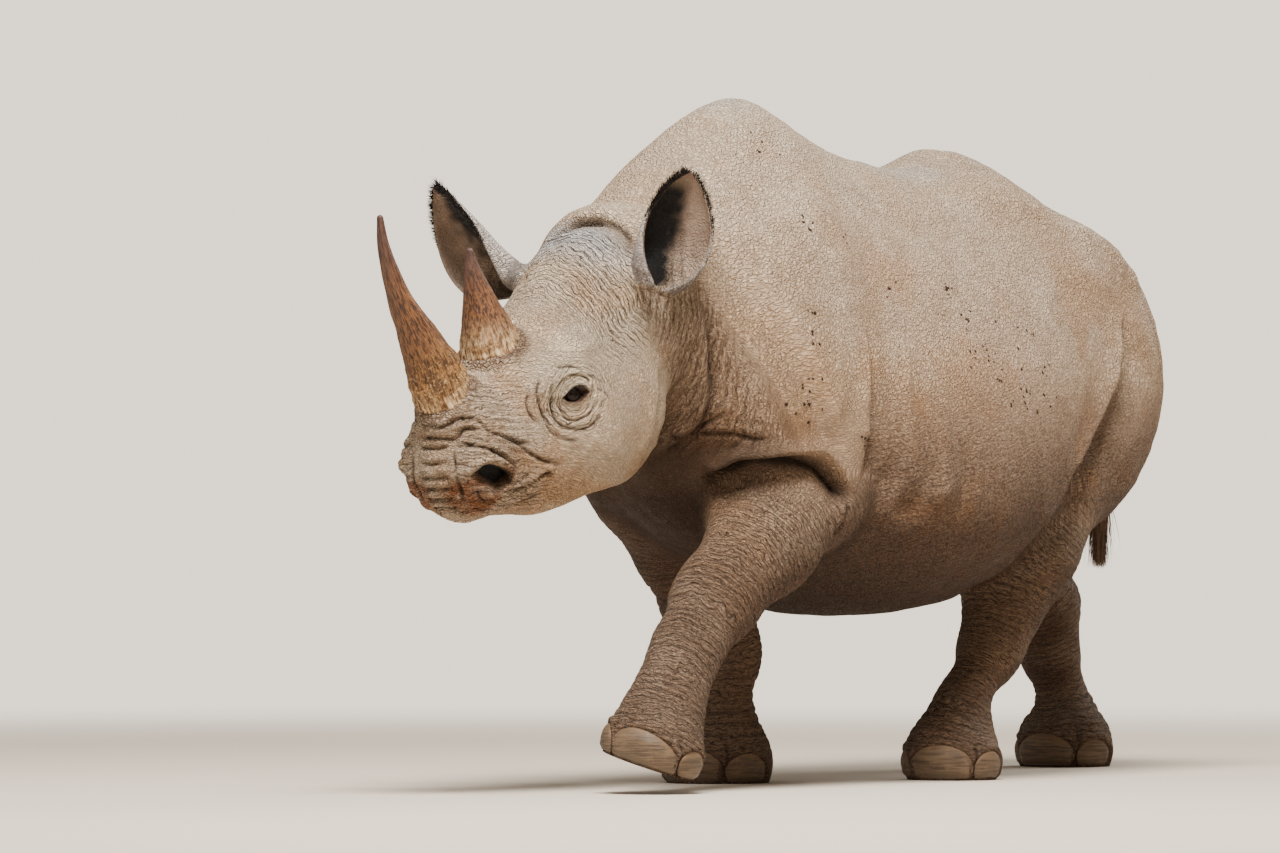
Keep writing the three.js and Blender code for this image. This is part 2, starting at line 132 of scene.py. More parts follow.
# ---- building blocks of the flesh ------------------------------------------------------------------
def between(stations, where):
    """Smooth curves through the stations' columns after the first, flat beyond the ends."""
    s = np.asarray(stations, float)
    x = np.clip(where, s[0, 0], s[-1, 0])
    i = np.clip(np.searchsorted(s[:, 0], x, side="left") - 1, 0, len(s) - 2)
    after = np.minimum(np.arange(len(s)) + 1, len(s) - 1)
    before = np.maximum(np.arange(len(s)) - 1, 0)
    slope = (s[after, 1:] - s[before, 1:]) / (s[after, :1] - s[before, :1])
    span = (s[i + 1, 0] - s[i, 0])[:, None]
    t = (x - s[i, 0])[:, None] / span
    value = (s[i, 1:] * (1 + 2 * t) * (1 - t) ** 2 + s[i + 1, 1:] * t * t * (3 - 2 * t)
             + span * t * (1 - t) * (slope[i] * (1 - t) - slope[i + 1] * t))
    return value.T


def smooth_min(a, b, reach):
    h = np.maximum(reach - np.abs(a - b), 0) / reach
    return np.minimum(a, b) - h * h * reach / 4


def loft(stations, axes, origin, power, blunt):
    """Oval sections: columns place, top, bottom, half width and how much narrower the top is."""
    s = np.asarray(stations, float)

    def field(p):
        q = (p - origin) @ axes.T
        high, low, half, taper = between(stations, q[:, 0])
        tall = (high - low) / 2
        v = (q[:, 2] - (high + low) / 2) / tall
        wide = half * (1 - taper * np.clip(v, -1, 1))
        ring = (np.abs(q[:, 1] / wide) ** power + np.abs(v) ** power) ** (1 / power)
        girth = np.minimum(half, tall)
        beyond = np.maximum(np.maximum(s[0, 0] - q[:, 0], q[:, 0] - s[-1, 0]), 0) * blunt / girth
        return (np.hypot(ring, beyond) - 1) * girth
    return field


def limb(a, ra, b, rb):
    """A round cone between two balls."""
    length = np.linalg.norm(b - a)
    axis = (b - a) / length
    lean = (ra - rb) / length
    slant = math.sqrt(1 - lean * lean)

    def field(p):
        q = p - a
        along = q @ axis
        out = np.sqrt(np.maximum((q * q).sum(1) - along * along, 0))
        t = np.clip((along - out * lean / slant) / length, 0, 1)
        return np.hypot(out, along - t * length) - ra - (rb - ra) * t
    return field, np.minimum(a - ra, b - rb), np.maximum(a + ra, b + rb)


def egg(centre, sizes, axes=BODY_AXES):
    """An ellipsoid with the given half sizes along the axes."""
    sizes = np.asarray(sizes, float)

    def field(p):
        u = (p - centre) @ axes.T / sizes
        near = np.sqrt((u * u).sum(1)) + 1e-9
        steep = np.sqrt(((u / sizes) ** 2).sum(1)) + 1e-9
        return near * (near - 1) / steep
    reach = np.sqrt(((axes * sizes[:, None]) ** 2).sum(0))
    return field, centre - reach, centre + reach


def leaned(degrees):
    c, s = cos_sin(degrees)
    return np.array([at(c, 0, s), LEFT, at(-s, 0, c)])


FAR_OFF = 400.0         # a field's value where it is too far to matter
REACH = 170.0           # how far from a piece its field still matters


def join(value, p, part, reach):
    """Joins one piece, given with its box, smoothly into the values at the points."""
    piece, low, high = part
    near = in_box(p, low, high, REACH)
    if near.any():
        value[near] = smooth_min(value[near], piece(p[near]), reach)
    return value


def blend(reach, parts):
    """Joins pieces smoothly. Each is a field with the box that holds it; a whole-space field has none."""
    def field(p):
        value = np.full(len(p), FAR_OFF)
        for part in parts:
            if not isinstance(part, tuple):
                value = smooth_min(value, part(p), reach)
            else:
                value = join(value, p, part, reach)
        return value
    return field


def boxed(field, parts):
    low = np.min([part[1] for part in parts], 0)
    high = np.max([part[2] for part in parts], 0)
    return field, low, high


# ---- the flesh -------------------------------------------------------------------------------------
TRUNK = [
    (-1550, 1050, 850, 130, 0), (-1500, 1130, 830, 178, 0.05), (-1420, 1228, 800, 232, 0.1),
    (-1310, 1336, 740, 282, 0.15), (-1130, 1400, 630, 335, 0.18), (-920, 1464, 500, 378, 0.26),
    (-640, 1420, 400, 416, 0.32), (-360, 1446, 380, 412, 0.38), (-180, 1488, 416, 385, 0.42),
    (10, 1550, 476, 335, 0.4), (220, 1468, 590, 284, 0.22), (370, 1360, 750, 236, 0),
    (460, 1296, 850, 195, -0.1),
]
TRUNK_POWER = 2.2
HEAD = [
    (0, 188, -60, 118, 0.1), (60, 202, -160, 150, 0.1), (150, 190, -256, 164, 0.12),
    (250, 168, -282, 158, 0.12), (370, 142, -276, 138, 0.08), (480, 130, -246, 118, 0),
    (590, 122, -182, 110, 0), (642, 96, -142, 110, 0), (686, 56, -110, 98, 0),
]
HEAD_POWER = 2.6
HEAD_BLUNT = 1.7

LEGS = {
    "leg_front_left": {
        "joints": [(60, 195, 720, 110), (75, 215, 660, 125), (215, 208, 548, 112), (385, 190, 425, 88),
                   (490, 181, 312, 66), (530, 177, 250, 62), (568, 172, 185, 72), (608, 170, 100, 112)],
        "mass": (at(95, 205, 668), (205, 118, 108), -28), "lift": 57, "slope": (0.14, -0.3), "turn": 20},
    "leg_front_right": {
        "joints": [(80, -170, 730, 110), (50, -180, 670, 112), (-50, -172, 540, 100), (-118, -152, 400, 88),
                   (-158, -142, 300, 84), (-142, -140, 150, 70), (-150, -140, 46, 126)],
        "mass": (at(50, -178, 680), (120, 112, 130), 0), "lift": 0, "slope": (0, 0), "turn": 4},
    "leg_hind_left": {
        "joints": [(-1100, 190, 800, 165), (-925, 208, 545, 132), (-872, 200, 418, 90),
                   (-816, 195, 300, 67), (-690, 191, 182, 50), (-643, 190, 50, 113)],
        "mass": (at(-1150, 195, 848), (395, 168, 264), -40), "lift": 0, "slope": (0, 0), "turn": 15},
    "leg_hind_right": {
        "joints": [(-1270, -190, 800, 165), (-1400, -185, 610, 142), (-1655, -157, 400, 86),
                   (-1702, -150, 270, 62), (-1752, -138, 162, 50), (-1738, -132, 50, 118)],
        "mass": (at(-1250, -195, 840), (350, 168, 310), 30), "lift": 0, "slope": (0, 0), "turn": 0},
}
TAIL = [(-1470, 0, 1070, 62), (-1560, 0, 1000, 42), (-1630, 0, 880, 28), (-1668, 0, 750, 20),
        (-1676, 0, 655, 15)]


def chain(joints, reach):
    parts = [limb(at(*a[:3]), a[3], at(*b[:3]), b[3]) for a, b in zip(joints, joints[1:])]
    return boxed(blend(reach, parts), parts)


def pair(make):
    return [make(1), make(-1)]


def head_egg(along, left, crown, sizes):
    return egg(in_head(along, left, crown), sizes, HEAD_AXES)


barrel = loft(TRUNK, BODY_AXES, np.zeros(3), TRUNK_POWER, 1)
torso_parts = [
    barrel,
    *pair(lambda side: egg(at(-1225, side * 200, 930), (300, 135, 330), leaned(12))),
    *pair(lambda side: egg(at(-1105, side * 208, 1172), (165, 85, 85), leaned(-8))),
    *pair(lambda side: egg(at(125, side * 225, 985), (205, 112, 335), leaned(10))),
    egg(at(170, 0, 785), (160, 150, 190)),
]
roll = egg(at(488, -5, 1138), (62, 180, 154), leaned(-24))
trunk = blend(100, torso_parts)
torso = blend(60, [trunk, roll])

face = blend(46, [
    loft(HEAD, HEAD_AXES, HEAD_AT, HEAD_POWER, HEAD_BLUNT),
    *pair(lambda side: head_egg(268, side * 98, -118, (160, 72, 157))),
    *pair(lambda side: head_egg(350, side * 104, 58, (112, 48, 52))),
    *pair(lambda side: head_egg(656, side * 76, 0, (56, 46, 62))),
    head_egg(606, 0, 88, (84, 82, 66)),
    head_egg(436, 0, 86, (80, 84, 66)),
    head_egg(692, 0, -56, (40, 66, 46)),
    head_egg(622, 0, -106, (80, 62, 34)),
    *pair(lambda side: head_egg(64, side * 138, 96, (42, 42, 42))),
])
head_corners = np.array([in_head(a, b, c) for a in (-60, 770) for b in (-230, 230) for c in (-330, 260)])
HEAD_BOX = (head_corners.min(0), head_corners.max(0))


def above_sole(leg, p):
    """Height over a foot's sole, which may rise forwards and to the left."""
    forward, left = leg["joints"][-1][:2]
    return p[:, 2] - leg["lift"] - leg["slope"][0] * (-p[:, 1] - forward) - leg["slope"][1] * (p[:, 0] - left)


def leg_field(shape):
    masses = egg(shape["mass"][0], shape["mass"][1], leaned(shape["mass"][2]))
    legs = chain(shape["joints"], 55)
    whole = boxed(blend(60, [legs, masses]), [legs, masses])

    def field(p):
        return np.maximum(whole[0](p), -above_sole(shape, p))
    return field, whole[1], whole[2]


legs = {name: leg_field(shape) for name, shape in LEGS.items()}
tail = chain(TAIL, 12)

# Ears: foot in the head's frame, reach and mouth in animal directions.
EARS = {
    "ear_left": {"foot": (64, 180, 74), "reach": at(-18, 88, 250), "mouth": at(0.66, 0.75, 0),
                 "bend": at(-0.3, 0.26, 0)},
    "ear_right": {"foot": (75, -150, 105), "reach": at(130, -166, 204), "mouth": at(0.9, -0.4, 0),
                  "bend": at(1.2, -1.85, 0)},
}
EAR_SECTIONS = [(0, 40, 34, 165, 4), (0.14, 65, 48, 136, 22), (0.34, 78, 54, 108, 30), (0.56, 77, 50, 92, 26),
                (0.77, 57, 37, 80, 16), (0.93, 30, 20, 70, 5), (1, 9, 7, 60, 0)]
EAR_THICK = 10


class Ear:
    """A leaf rolled into a trumpet, with a frame of its own: height 0 to 1, angle round from its back."""

    def __init__(self, foot, reach, mouth, bend):
        self.base = in_head(*foot)
        self.tall = np.linalg.norm(reach)
        self.up = reach / self.tall
        self.open = unit(mouth - self.up * (mouth @ self.up))
        self.side = np.cross(self.up, self.open)
        self.out = bend - self.up * (bend @ self.up)
        self.inner = np.sign(foot[1])      # the sign of the angles on the wall towards the other ear

    def local(self, p):
        q = p - self.base
        h = q @ self.up / self.tall
        wide, deep, wrap, bow = between(EAR_SECTIONS, h)
        q = q - bow[:, None] * self.out
        a = -(q @ self.side)
        b = 0.25 * deep - q @ self.open
        angle = np.arctan2(a / wide, b / deep)
        radius = np.hypot(wide * np.sin(angle), deep * np.cos(angle))
        off = (np.hypot(a / wide, b / deep) - 1) * radius
        return h, angle, off, radius, np.radians(wrap)

    def place(self, h, angle, off=0.0):
        wide, deep, wrap, bow = between(EAR_SECTIONS, h)
        return (self.base + np.outer(h * self.tall, self.up) + np.outer(bow, self.out)
                - np.outer((wide + off) * np.sin(angle), self.side)
                + np.outer(deep * 0.25 - (deep + off) * np.cos(angle), self.open))

    def distance(self, p, h):
        """From the place on the ear's middle line at that height."""
        return np.linalg.norm(p - self.base - self.up * self.tall * h, axis=1)

    def field(self, thick):
        def value(p):
            h, angle, off, radius, wrap = self.local(p)
            over = np.maximum(np.abs(angle) - wrap, 0) * radius
            past = np.maximum(np.maximum(h - 1, -h), 0) * self.tall
            return np.sqrt(off ** 2 + over ** 2 + past ** 2) - thick / 2 * (1 - 0.3 * np.clip(h, 0, 1))
        corners = np.array([self.base, self.base + self.up * self.tall])
        return value, corners.min(0) - 90, corners.max(0) + 90


ears = {name: Ear(**shape) for name, shape in EARS.items()}


def flesh(ear_thick):
    def field(p):
        value = blend(45, [torso] + list(legs.values()) + [tail])(p)
        value = join(value, p, (face, *HEAD_BOX), 36)
        for ear in ears.values():
            value = join(value, p, ear.field(ear_thick), 16)
        return value
    return field


# ---- meshing ---------------------------------------------------------------------------------------
VOXEL = 7.0
BLOCK = 4
MAX_STEP = 8            # how far a point may settle in one round


def grid_faces(rows, columns, closed):
    """Quads between rows of points; a closed grid joins its last column to its first."""
    i = np.arange(rows - 1)[:, None] * columns
    j = np.arange(columns if closed else columns - 1)[None]
    k = (j + 1) % columns
    return np.stack([i + j, i + k, i + columns + k, i + columns + j], -1).reshape(-1, 4)


def halves(quads):
    return np.concatenate([quads[:, [0, 1, 2]], quads[:, [0, 2, 3]]])


def repeated(faces, times, points):
    """The faces of many like pieces that follow each other, each with that many points."""
    return (np.arange(times)[:, None, None] * points + faces).reshape(-1, faces.shape[1])


def outward(p, faces):
    """The faces, turned so that the closed surface faces out."""
    q = p[faces]
    volume = np.einsum("ij,ij->i", q[:, 0], np.cross(q[:, 1], q[:, 2])).sum()
    return faces if volume > 0 else faces[:, ::-1]


def grid_mesh(field, low, high, step):
    """Surface of a field as triangles. A coarse pass finds the blocks that the surface runs through."""
    wide = step * BLOCK
    count = np.ceil((high - low) / wide).astype(int) + 1
    axes = [low[i] + wide * (np.arange(count[i]) + 0.5) - step / 2 for i in range(3)]
    centres = np.stack(np.meshgrid(*axes, indexing="ij"), -1).reshape(-1, 3)
    coarse = field(centres)
    grid = np.repeat(np.repeat(np.repeat(coarse.reshape(count), BLOCK, 0), BLOCK, 1), BLOCK, 2)
    grid = np.clip(grid, -wide, wide).astype(np.float32)
    active = np.flatnonzero(np.abs(coarse) < wide * 1.7)
    cell = np.stack(np.meshgrid(*[np.arange(BLOCK)] * 3, indexing="ij"), -1).reshape(-1, 3)
    for part in np.array_split(active, max(1, len(active) // 12000)):
        index = (np.stack(np.unravel_index(part, count), -1)[:, None] * BLOCK + cell).reshape(-1, 3)
        value = np.clip(field(low + index * step), -wide, wide)
        grid[index[:, 0], index[:, 1], index[:, 2]] = value
    volume = vdb.FloatGrid(wide)
    volume.copyFromArray(grid)
    points, quads = volume.convertToQuads(isovalue=0.0)
    points = points.astype(float) * step + low
    a, b, c, d = (points[quads[:, i]] for i in range(4))
    short = ((a - c) ** 2).sum(1) < ((b - d) ** 2).sum(1)
    one = np.where(short[:, None], quads[:, [0, 1, 2]], quads[:, [0, 1, 3]])
    two = np.where(short[:, None], quads[:, [0, 2, 3]], quads[:, [1, 2, 3]])
    return points, outward(points, np.concatenate([one, two]).astype(np.int64))


def slope_of(field, p, step=1.0):
    return np.stack([(field(p + step * e) - field(p - step * e)) / (2 * step) for e in np.eye(3)], -1)


def settle(field, p, rounds):
    """Moves points down the field's slope onto its surface."""
    for _ in range(rounds):
        g = slope_of(field, p)
        size = (g * g).sum(1)
        move = (field(p) / np.maximum(size, 0.15))[:, None] * g
        p = p - np.clip(move, -MAX_STEP, MAX_STEP)
    return p


def normals_of(p, triangles):
    n = np.cross(p[triangles[:, 1]] - p[triangles[:, 0]], p[triangles[:, 2]] - p[triangles[:, 0]])
    out = np.zeros_like(p)
    for i in range(3):
        np.add.at(out, triangles[:, i], n)
    return unit(out)


def refine(p, triangles, wanted):
    """Splits the wanted triangles in four, and their neighbours so that no crack opens."""
    edges = np.stack([triangles, np.roll(triangles, -1, 1)], -1)
    edges.sort(-1)
    key = edges[..., 0] * len(p) + edges[..., 1]
    unique, inverse = np.unique(key, return_inverse=True)
    inverse = inverse.reshape(-1, 3)
    marked = np.zeros(len(unique), bool)
    marked[inverse[wanted]] = True
    while True:
        full = marked[inverse].sum(1) >= 2
        before = marked.sum()
        marked[inverse[full]] = True
        if marked.sum() == before:
            break
    number = np.full(len(unique), -1)
    number[marked] = len(p) + np.arange(marked.sum())
    ends = np.stack([unique // len(p), unique % len(p)], -1)[marked]
    points = np.concatenate([p, (p[ends[:, 0]] + p[ends[:, 1]]) / 2])
    hits = marked[inverse]
    whole = triangles[~hits.any(1)]
    four = hits.all(1)
    t, m = triangles[four], number[inverse[four]]
    quartered = np.concatenate([
        np.stack([t[:, 0], m[:, 0], m[:, 2]], 1), np.stack([m[:, 0], t[:, 1], m[:, 1]], 1),
        np.stack([m[:, 2], m[:, 1], t[:, 2]], 1), m])
    single = hits.sum(1) == 1
    t, m, which = triangles[single], number[inverse[single]], np.argmax(hits[single], 1)
    rows = np.arange(len(t))
    a, b, c = (t[rows, (which + k) % 3] for k in range(3))
    middle = m[rows, which]
    halved = np.concatenate([np.stack([a, middle, c], 1), np.stack([middle, b, c], 1)])
    return points, np.concatenate([whole, quartered, halved])


# ---- relief ----------------------------------------------------------------------------------------
LATTICE_SIDE = 32
LATTICE = np.random.default_rng(11).uniform(-1, 1, (LATTICE_SIDE,) * 3)


def noise(p, size, seed=0):
    """Smooth random values between -1 and 1, with features of the given size in millimetres."""
    q = p / size + 7.31 * (seed + 1)
    cell = np.floor(q).astype(int)
    f = q - cell
    f = f * f * (3 - 2 * f)
    value = np.zeros(len(q))
    for corner in np.ndindex(2, 2, 2):
        share = np.prod(np.where(corner, f, 1 - f), 1)
        i = (cell + corner) % LATTICE_SIDE
        value += share * LATTICE[i[:, 0], i[:, 1], i[:, 2]]
    return value


def curve(points, step):
    """Points along a smooth line through the given ones, about a step apart."""
    p = np.asarray(points, float)
    place = np.concatenate([[0], np.cumsum(np.linalg.norm(np.diff(p, axis=0), axis=1))])
    where = np.linspace(0, place[-1], max(3, int(place[-1] / step) + 1))
    return between(np.column_stack([place, p]), where).T


MASKS = ("crease_shade", "brown_and_shade", "ochre", "pale", "grey", "stain", "inside", "wall", "rough", "lid", "rings",
         "shade")


class Skin:
    """The skin's points, with the relief and the colour masks that the sculpting gives them."""

    def __init__(self, points, triangles):
        self.p, self.triangles = points, triangles
        self.n = normals_of(points, triangles)
        self.height = np.zeros(len(points))
        self.move = np.zeros_like(points)
        self.mask = {name: np.zeros(len(points)) for name in MASKS}
        self.head = (points - HEAD_AT) @ HEAD_AXES.T
        self.lie = points.copy()
        self.phase = np.zeros(len(points))

    def tint(self, name, near, amount):
        self.mask[name][near] = np.maximum(self.mask[name][near], amount)

    def near_path(self, path, reach):
        """The points near a path on the skin, their distance, place along it and side of it."""
        low, high = path.min(0) - reach, path.max(0) + reach
        near = np.flatnonzero(in_box(self.p, low, high))
        coarse = path[::6]
        gap = np.linalg.norm(path[1] - path[0]) * 6
        rough = np.min([((self.p[near] - c) ** 2).sum(1) for c in coarse], 0)
        near = near[rough < (reach + gap) ** 2]
        p, n = self.p[near], self.n[near]
        best, along, aside = np.full(len(p), np.inf), np.zeros(len(p)), np.zeros(len(p))
        for i, (a, b) in enumerate(zip(path, path[1:])):
            step = b - a
            t = np.clip(((p - a) @ step) / (step @ step), 0, 1)
            off = p - a - t[:, None] * step
            d = np.sqrt((off * off).sum(1))
            closer = d < best
            best[closer] = d[closer]
            along[closer] = (i + t[closer]) / (len(path) - 1)
            aside[closer] = (unit(np.cross(n[closer], step)) * off[closer]).sum(1)
        keep = best < reach
        return near[keep], best[keep], along[keep], aside[keep]


def fold(skin, points, depth=4.0, width=6.0, lip=0.0, reach=14.0, both=False, dark=1.0, taper=0.2, step=9.0,
         side=1, drop=0.0, fall=40.0, shade=0.0, shade_end=None, shade_reach=22.0):
    """A crease along a path, darkened with painted shade, with a lip to the left of the way it runs, seen
    from outside, or on both sides.
    On the other side the skin may drop away, and lie in painted shade."""
    path = settle(exact, curve(points, step), 4)
    wide = max(reach, fall * 0.8) if drop else reach
    near, d, along, aside = skin.near_path(path, 2.2 * (width + wide))
    end = soft(np.minimum(along, 1 - along), 0, taper)
    finer = 0.35 if width < 8 else 0.1
    uneven = end * (0.9 + 0.3 * noise(skin.p[near], 35.0, 3) + finer * noise(skin.p[near], 13.0, 4))
    swell = lip * hill(d - 1.3 * width, reach)
    aside = np.abs(aside) if both else aside * side
    behind = soft(-aside, -0.3 * width, 0.8 * width)
    skin.height[near] += (swell * soft(aside, -0.2 * width, width) - depth * hill(d, width)) * uneven
    skin.height[near] -= drop * hill(d, fall) * behind * end
    # painted shade along the crease
    skin.tint("crease_shade", near, dark * hill(d, 0.75 * width) * uneven)
    if shade:
        last = shade if shade_end is None else shade_end
        skin.tint("shade", near, (shade + (last - shade) * along) * hill(d, shade_reach) * behind * end)


def mirrored(points):
    return [(f, -l, u) for f, l, u in points]


def body_fold(skin, points, far=1.0, **shape):
    """A fold on the near flank, given as forward, left and up, and its weaker twin on the far one."""
    fold(skin, [at(*p) for p in points], **shape)
    if far:
        for key in ("depth", "lip", "dark", "drop", "shade"):
            if key in shape:
                shape[key] = shape[key] * far * (0.35 if key == "shade" else 1)
        fold(skin, [at(*p) for p in mirrored(points)], side=-1, **shape)


def head_fold(skin, points, far=1.0, **shape):
    """The same on the head, given as along, left and crown."""
    fold(skin, [in_head(*p) for p in points], step=5.0, **shape)
    if far:
        shape.update(dark=far * shape.get("dark", 1.0), shade=0.3 * shape.get("shade", 0.0))
        fold(skin, [in_head(*p) for p in mirrored(points)], side=-1, step=5.0, **shape)


def mound(skin, centre, height, sizes, far=True):
    """A swelling or, with a negative height, a hollow."""
    for spot in ([centre, mirrored([centre])[0]] if far else [centre]):
        gap = (skin.p - at(*spot)) / np.array([sizes[1], sizes[0], sizes[2]])
        skin.height += height * np.exp(-(gap * gap).sum(1))


def ripples(skin, weight, phase, spacing, depth, seed, wander=0.6):
    """Wrinkles square to the way that the phase grows."""
    near = np.flatnonzero(weight > 0.02)
    p, w = skin.p[near], weight[near]
    beat = (phase[near] / spacing + wander * noise(p, spacing * 5, seed)
            + 0.35 * noise(p, spacing * 2.2, seed + 1))
    cut = hill(np.sin(np.pi * beat), 0.5) * soft(noise(p, spacing * 3.4, seed + 2), -0.6, 0.1)
    skin.height[near] += w * depth * (0.3 - cut)
    # painted shade in each wrinkle's cut
    skin.tint("crease_shade", near, 0.5 * w * cut)


def fine_rings(skin, weight, phase):
    """Where the material draws fine wrinkles of its own, and which way they run."""
    stronger = weight > skin.mask["rings"]
    skin.mask["rings"][stronger] = weight[stronger]
    skin.phase[stronger] = phase[stronger]


def limb_place(p, joints):
    """Height-like place along a bent limb, growing upwards, for wrinkles that run round it."""
    total, weight, place = np.zeros(len(p)), np.zeros(len(p)), 0.0
    for a, b in zip(joints[::-1], joints[-2::-1]):
        low, high = at(*a[:3]), at(*b[:3])
        length = np.linalg.norm(high - low)
        axis = (high - low) / length
        t = np.clip((p - low) @ axis, 0, length)
        gap = np.linalg.norm(p - low - t[:, None] * axis, axis=1)
        share = np.exp(-gap / 14)
        total += share * (place + (p - low) @ axis)
        weight += share
        place += length
    return total / np.maximum(weight, 1e-12)


# ---- what is wrinkled where ------------------------------------------------------------------------
FAR_FLANK = dict(points=[(-985, -330, 520), (-1010, -372, 620), (-1050, -380, 720), (-1095, -375, 830),
                         (-1150, -360, 940), (-1210, -335, 1060)],
                 depth=9, width=11, lip=10, reach=34, step=15, taper=0.4, far=0, drop=18, fall=80, dark=0.35,
                 side=-1)
BODY_FOLDS = {
    "shoulder": dict(points=[(76, 361, 667), (16, 362, 732), (10, 368, 796), (14, 367, 859), (4, 355, 980),
                             (2, 345, 1070)], depth=10, width=10, lip=10, reach=30, step=16, far=0.4, drop=12,
                     fall=48, shade=0.2, dark=0.6, taper=0.5),
    "foreleg": dict(points=[(330, 110, 690), (307, 158, 706), (304, 221, 726), (243, 296, 734),
                            (167, 332, 730), (122, 352, 691), (75, 358, 640)],
                    depth=26, width=11, lip=18, reach=24, step=14, taper=0.12, far=0.45, drop=36, fall=56,
                    shade=1.25, shade_reach=30),
    "elbow": dict(points=[(97, 352, 655), (87, 340, 600), (120, 330, 556)], depth=5, width=9, both=True,
                  lip=3, reach=12, step=12, dark=0.6),
    "flank": dict(points=[(-568, 257, 434), (-603, 282, 453), (-644, 311, 480), (-650, 362, 524),
                          (-695, 386, 572), (-761, 394, 626), (-834, 397, 699), (-918, 387, 760),
                          (-995, 379, 815), (-1044, 378, 862), (-1102, 372, 924), (-1150, 356, 1010),
                          (-1190, 335, 1090)],
                  depth=12, width=10, lip=13, reach=34, step=15, taper=0.12, far=0, drop=40, fall=95,
                  shade=1.3, shade_end=-0.1, shade_reach=85),
    "rib_one": dict(points=[(-145, 360, 1000), (-110, 386, 900), (-112, 400, 821), (-120, 408, 757)],
                    depth=-8, width=15, lip=0, reach=8, dark=0, step=14),
    "rib_two": dict(points=[(-235, 409, 900), (-222, 420, 840), (-218, 429, 700), (-243, 423, 637)],
                    depth=-6, width=16, lip=0, reach=8, dark=0, step=14),
    "hip": dict(points=[(-646, 177, 1343), (-853, 200, 1354), (-949, 222, 1336), (-1027, 245, 1305),
                        (-1190, 298, 1242), (-1347, 308, 1119), (-1390, 332, 940)],
                depth=-16, width=40, lip=0, reach=10, dark=0, step=26, taper=0.3, far=0.6),
    "buttock": dict(points=[(-1330, 318, 1130), (-1370, 330, 1040), (-1385, 332, 930)], depth=4, width=9,
                    lip=2, reach=16, dark=0.4, step=18),
    "neck_roll": dict(points=[(371, 21, 738), (376, 127, 793), (386, 171, 848), (412, 192, 934),
                              (433, 200, 1012), (460, 199, 1082)],
                      depth=12, width=9, lip=15, reach=34, step=12, taper=0.15, drop=8, fall=34, shade=0.15,
                      dark=0.8),
    "neck_low": dict(points=[(359, 219, 848), (376, 127, 793), (440, 110, 750), (532, 114, 736)], depth=7,
                     width=7, lip=4, reach=14, both=True, step=10),
    "chest": dict(points=[(260, 250, 800), (340, 205, 790), (420, 150, 745)], depth=5, width=8, lip=4,
                  reach=16, both=True, step=12, dark=0.8),
    "thigh": dict(points=[(-942, 371, 623), (-1009, 371, 707), (-1139, 375, 834)], depth=-7, width=26, lip=0,
                  reach=8, dark=0, step=20),
}
POLL_FOLD = [(606, -120, 1190), (601, -79, 1242), (596, -30, 1258), (595, 22, 1257), (593, 73, 1239),
             (594, 118, 1195)]
SPINE_SWELLS = [((-823, 10, 1462), 16, (90, 70, 60)), ((-1040, 0, 1440), 6, (70, 60, 60))]
BELLY_HOLLOWS = [((-5, 370, 742), -14, (34, 60, 44)), ((-55, 385, 690), -24, (38, 60, 48)),
                 ((-128, 398, 632), -16, (36, 60, 32)), ((-205, 416, 664), 20, (36, 60, 44)),
                 ((-290, 438, 700), -8, (30, 60, 60)), ((-120, 398, 745), 8, (30, 60, 50)),
                 ((-60, 395, 860), -7, (30, 60, 120)), ((-185, 405, 590), 6, (60, 60, 26))]

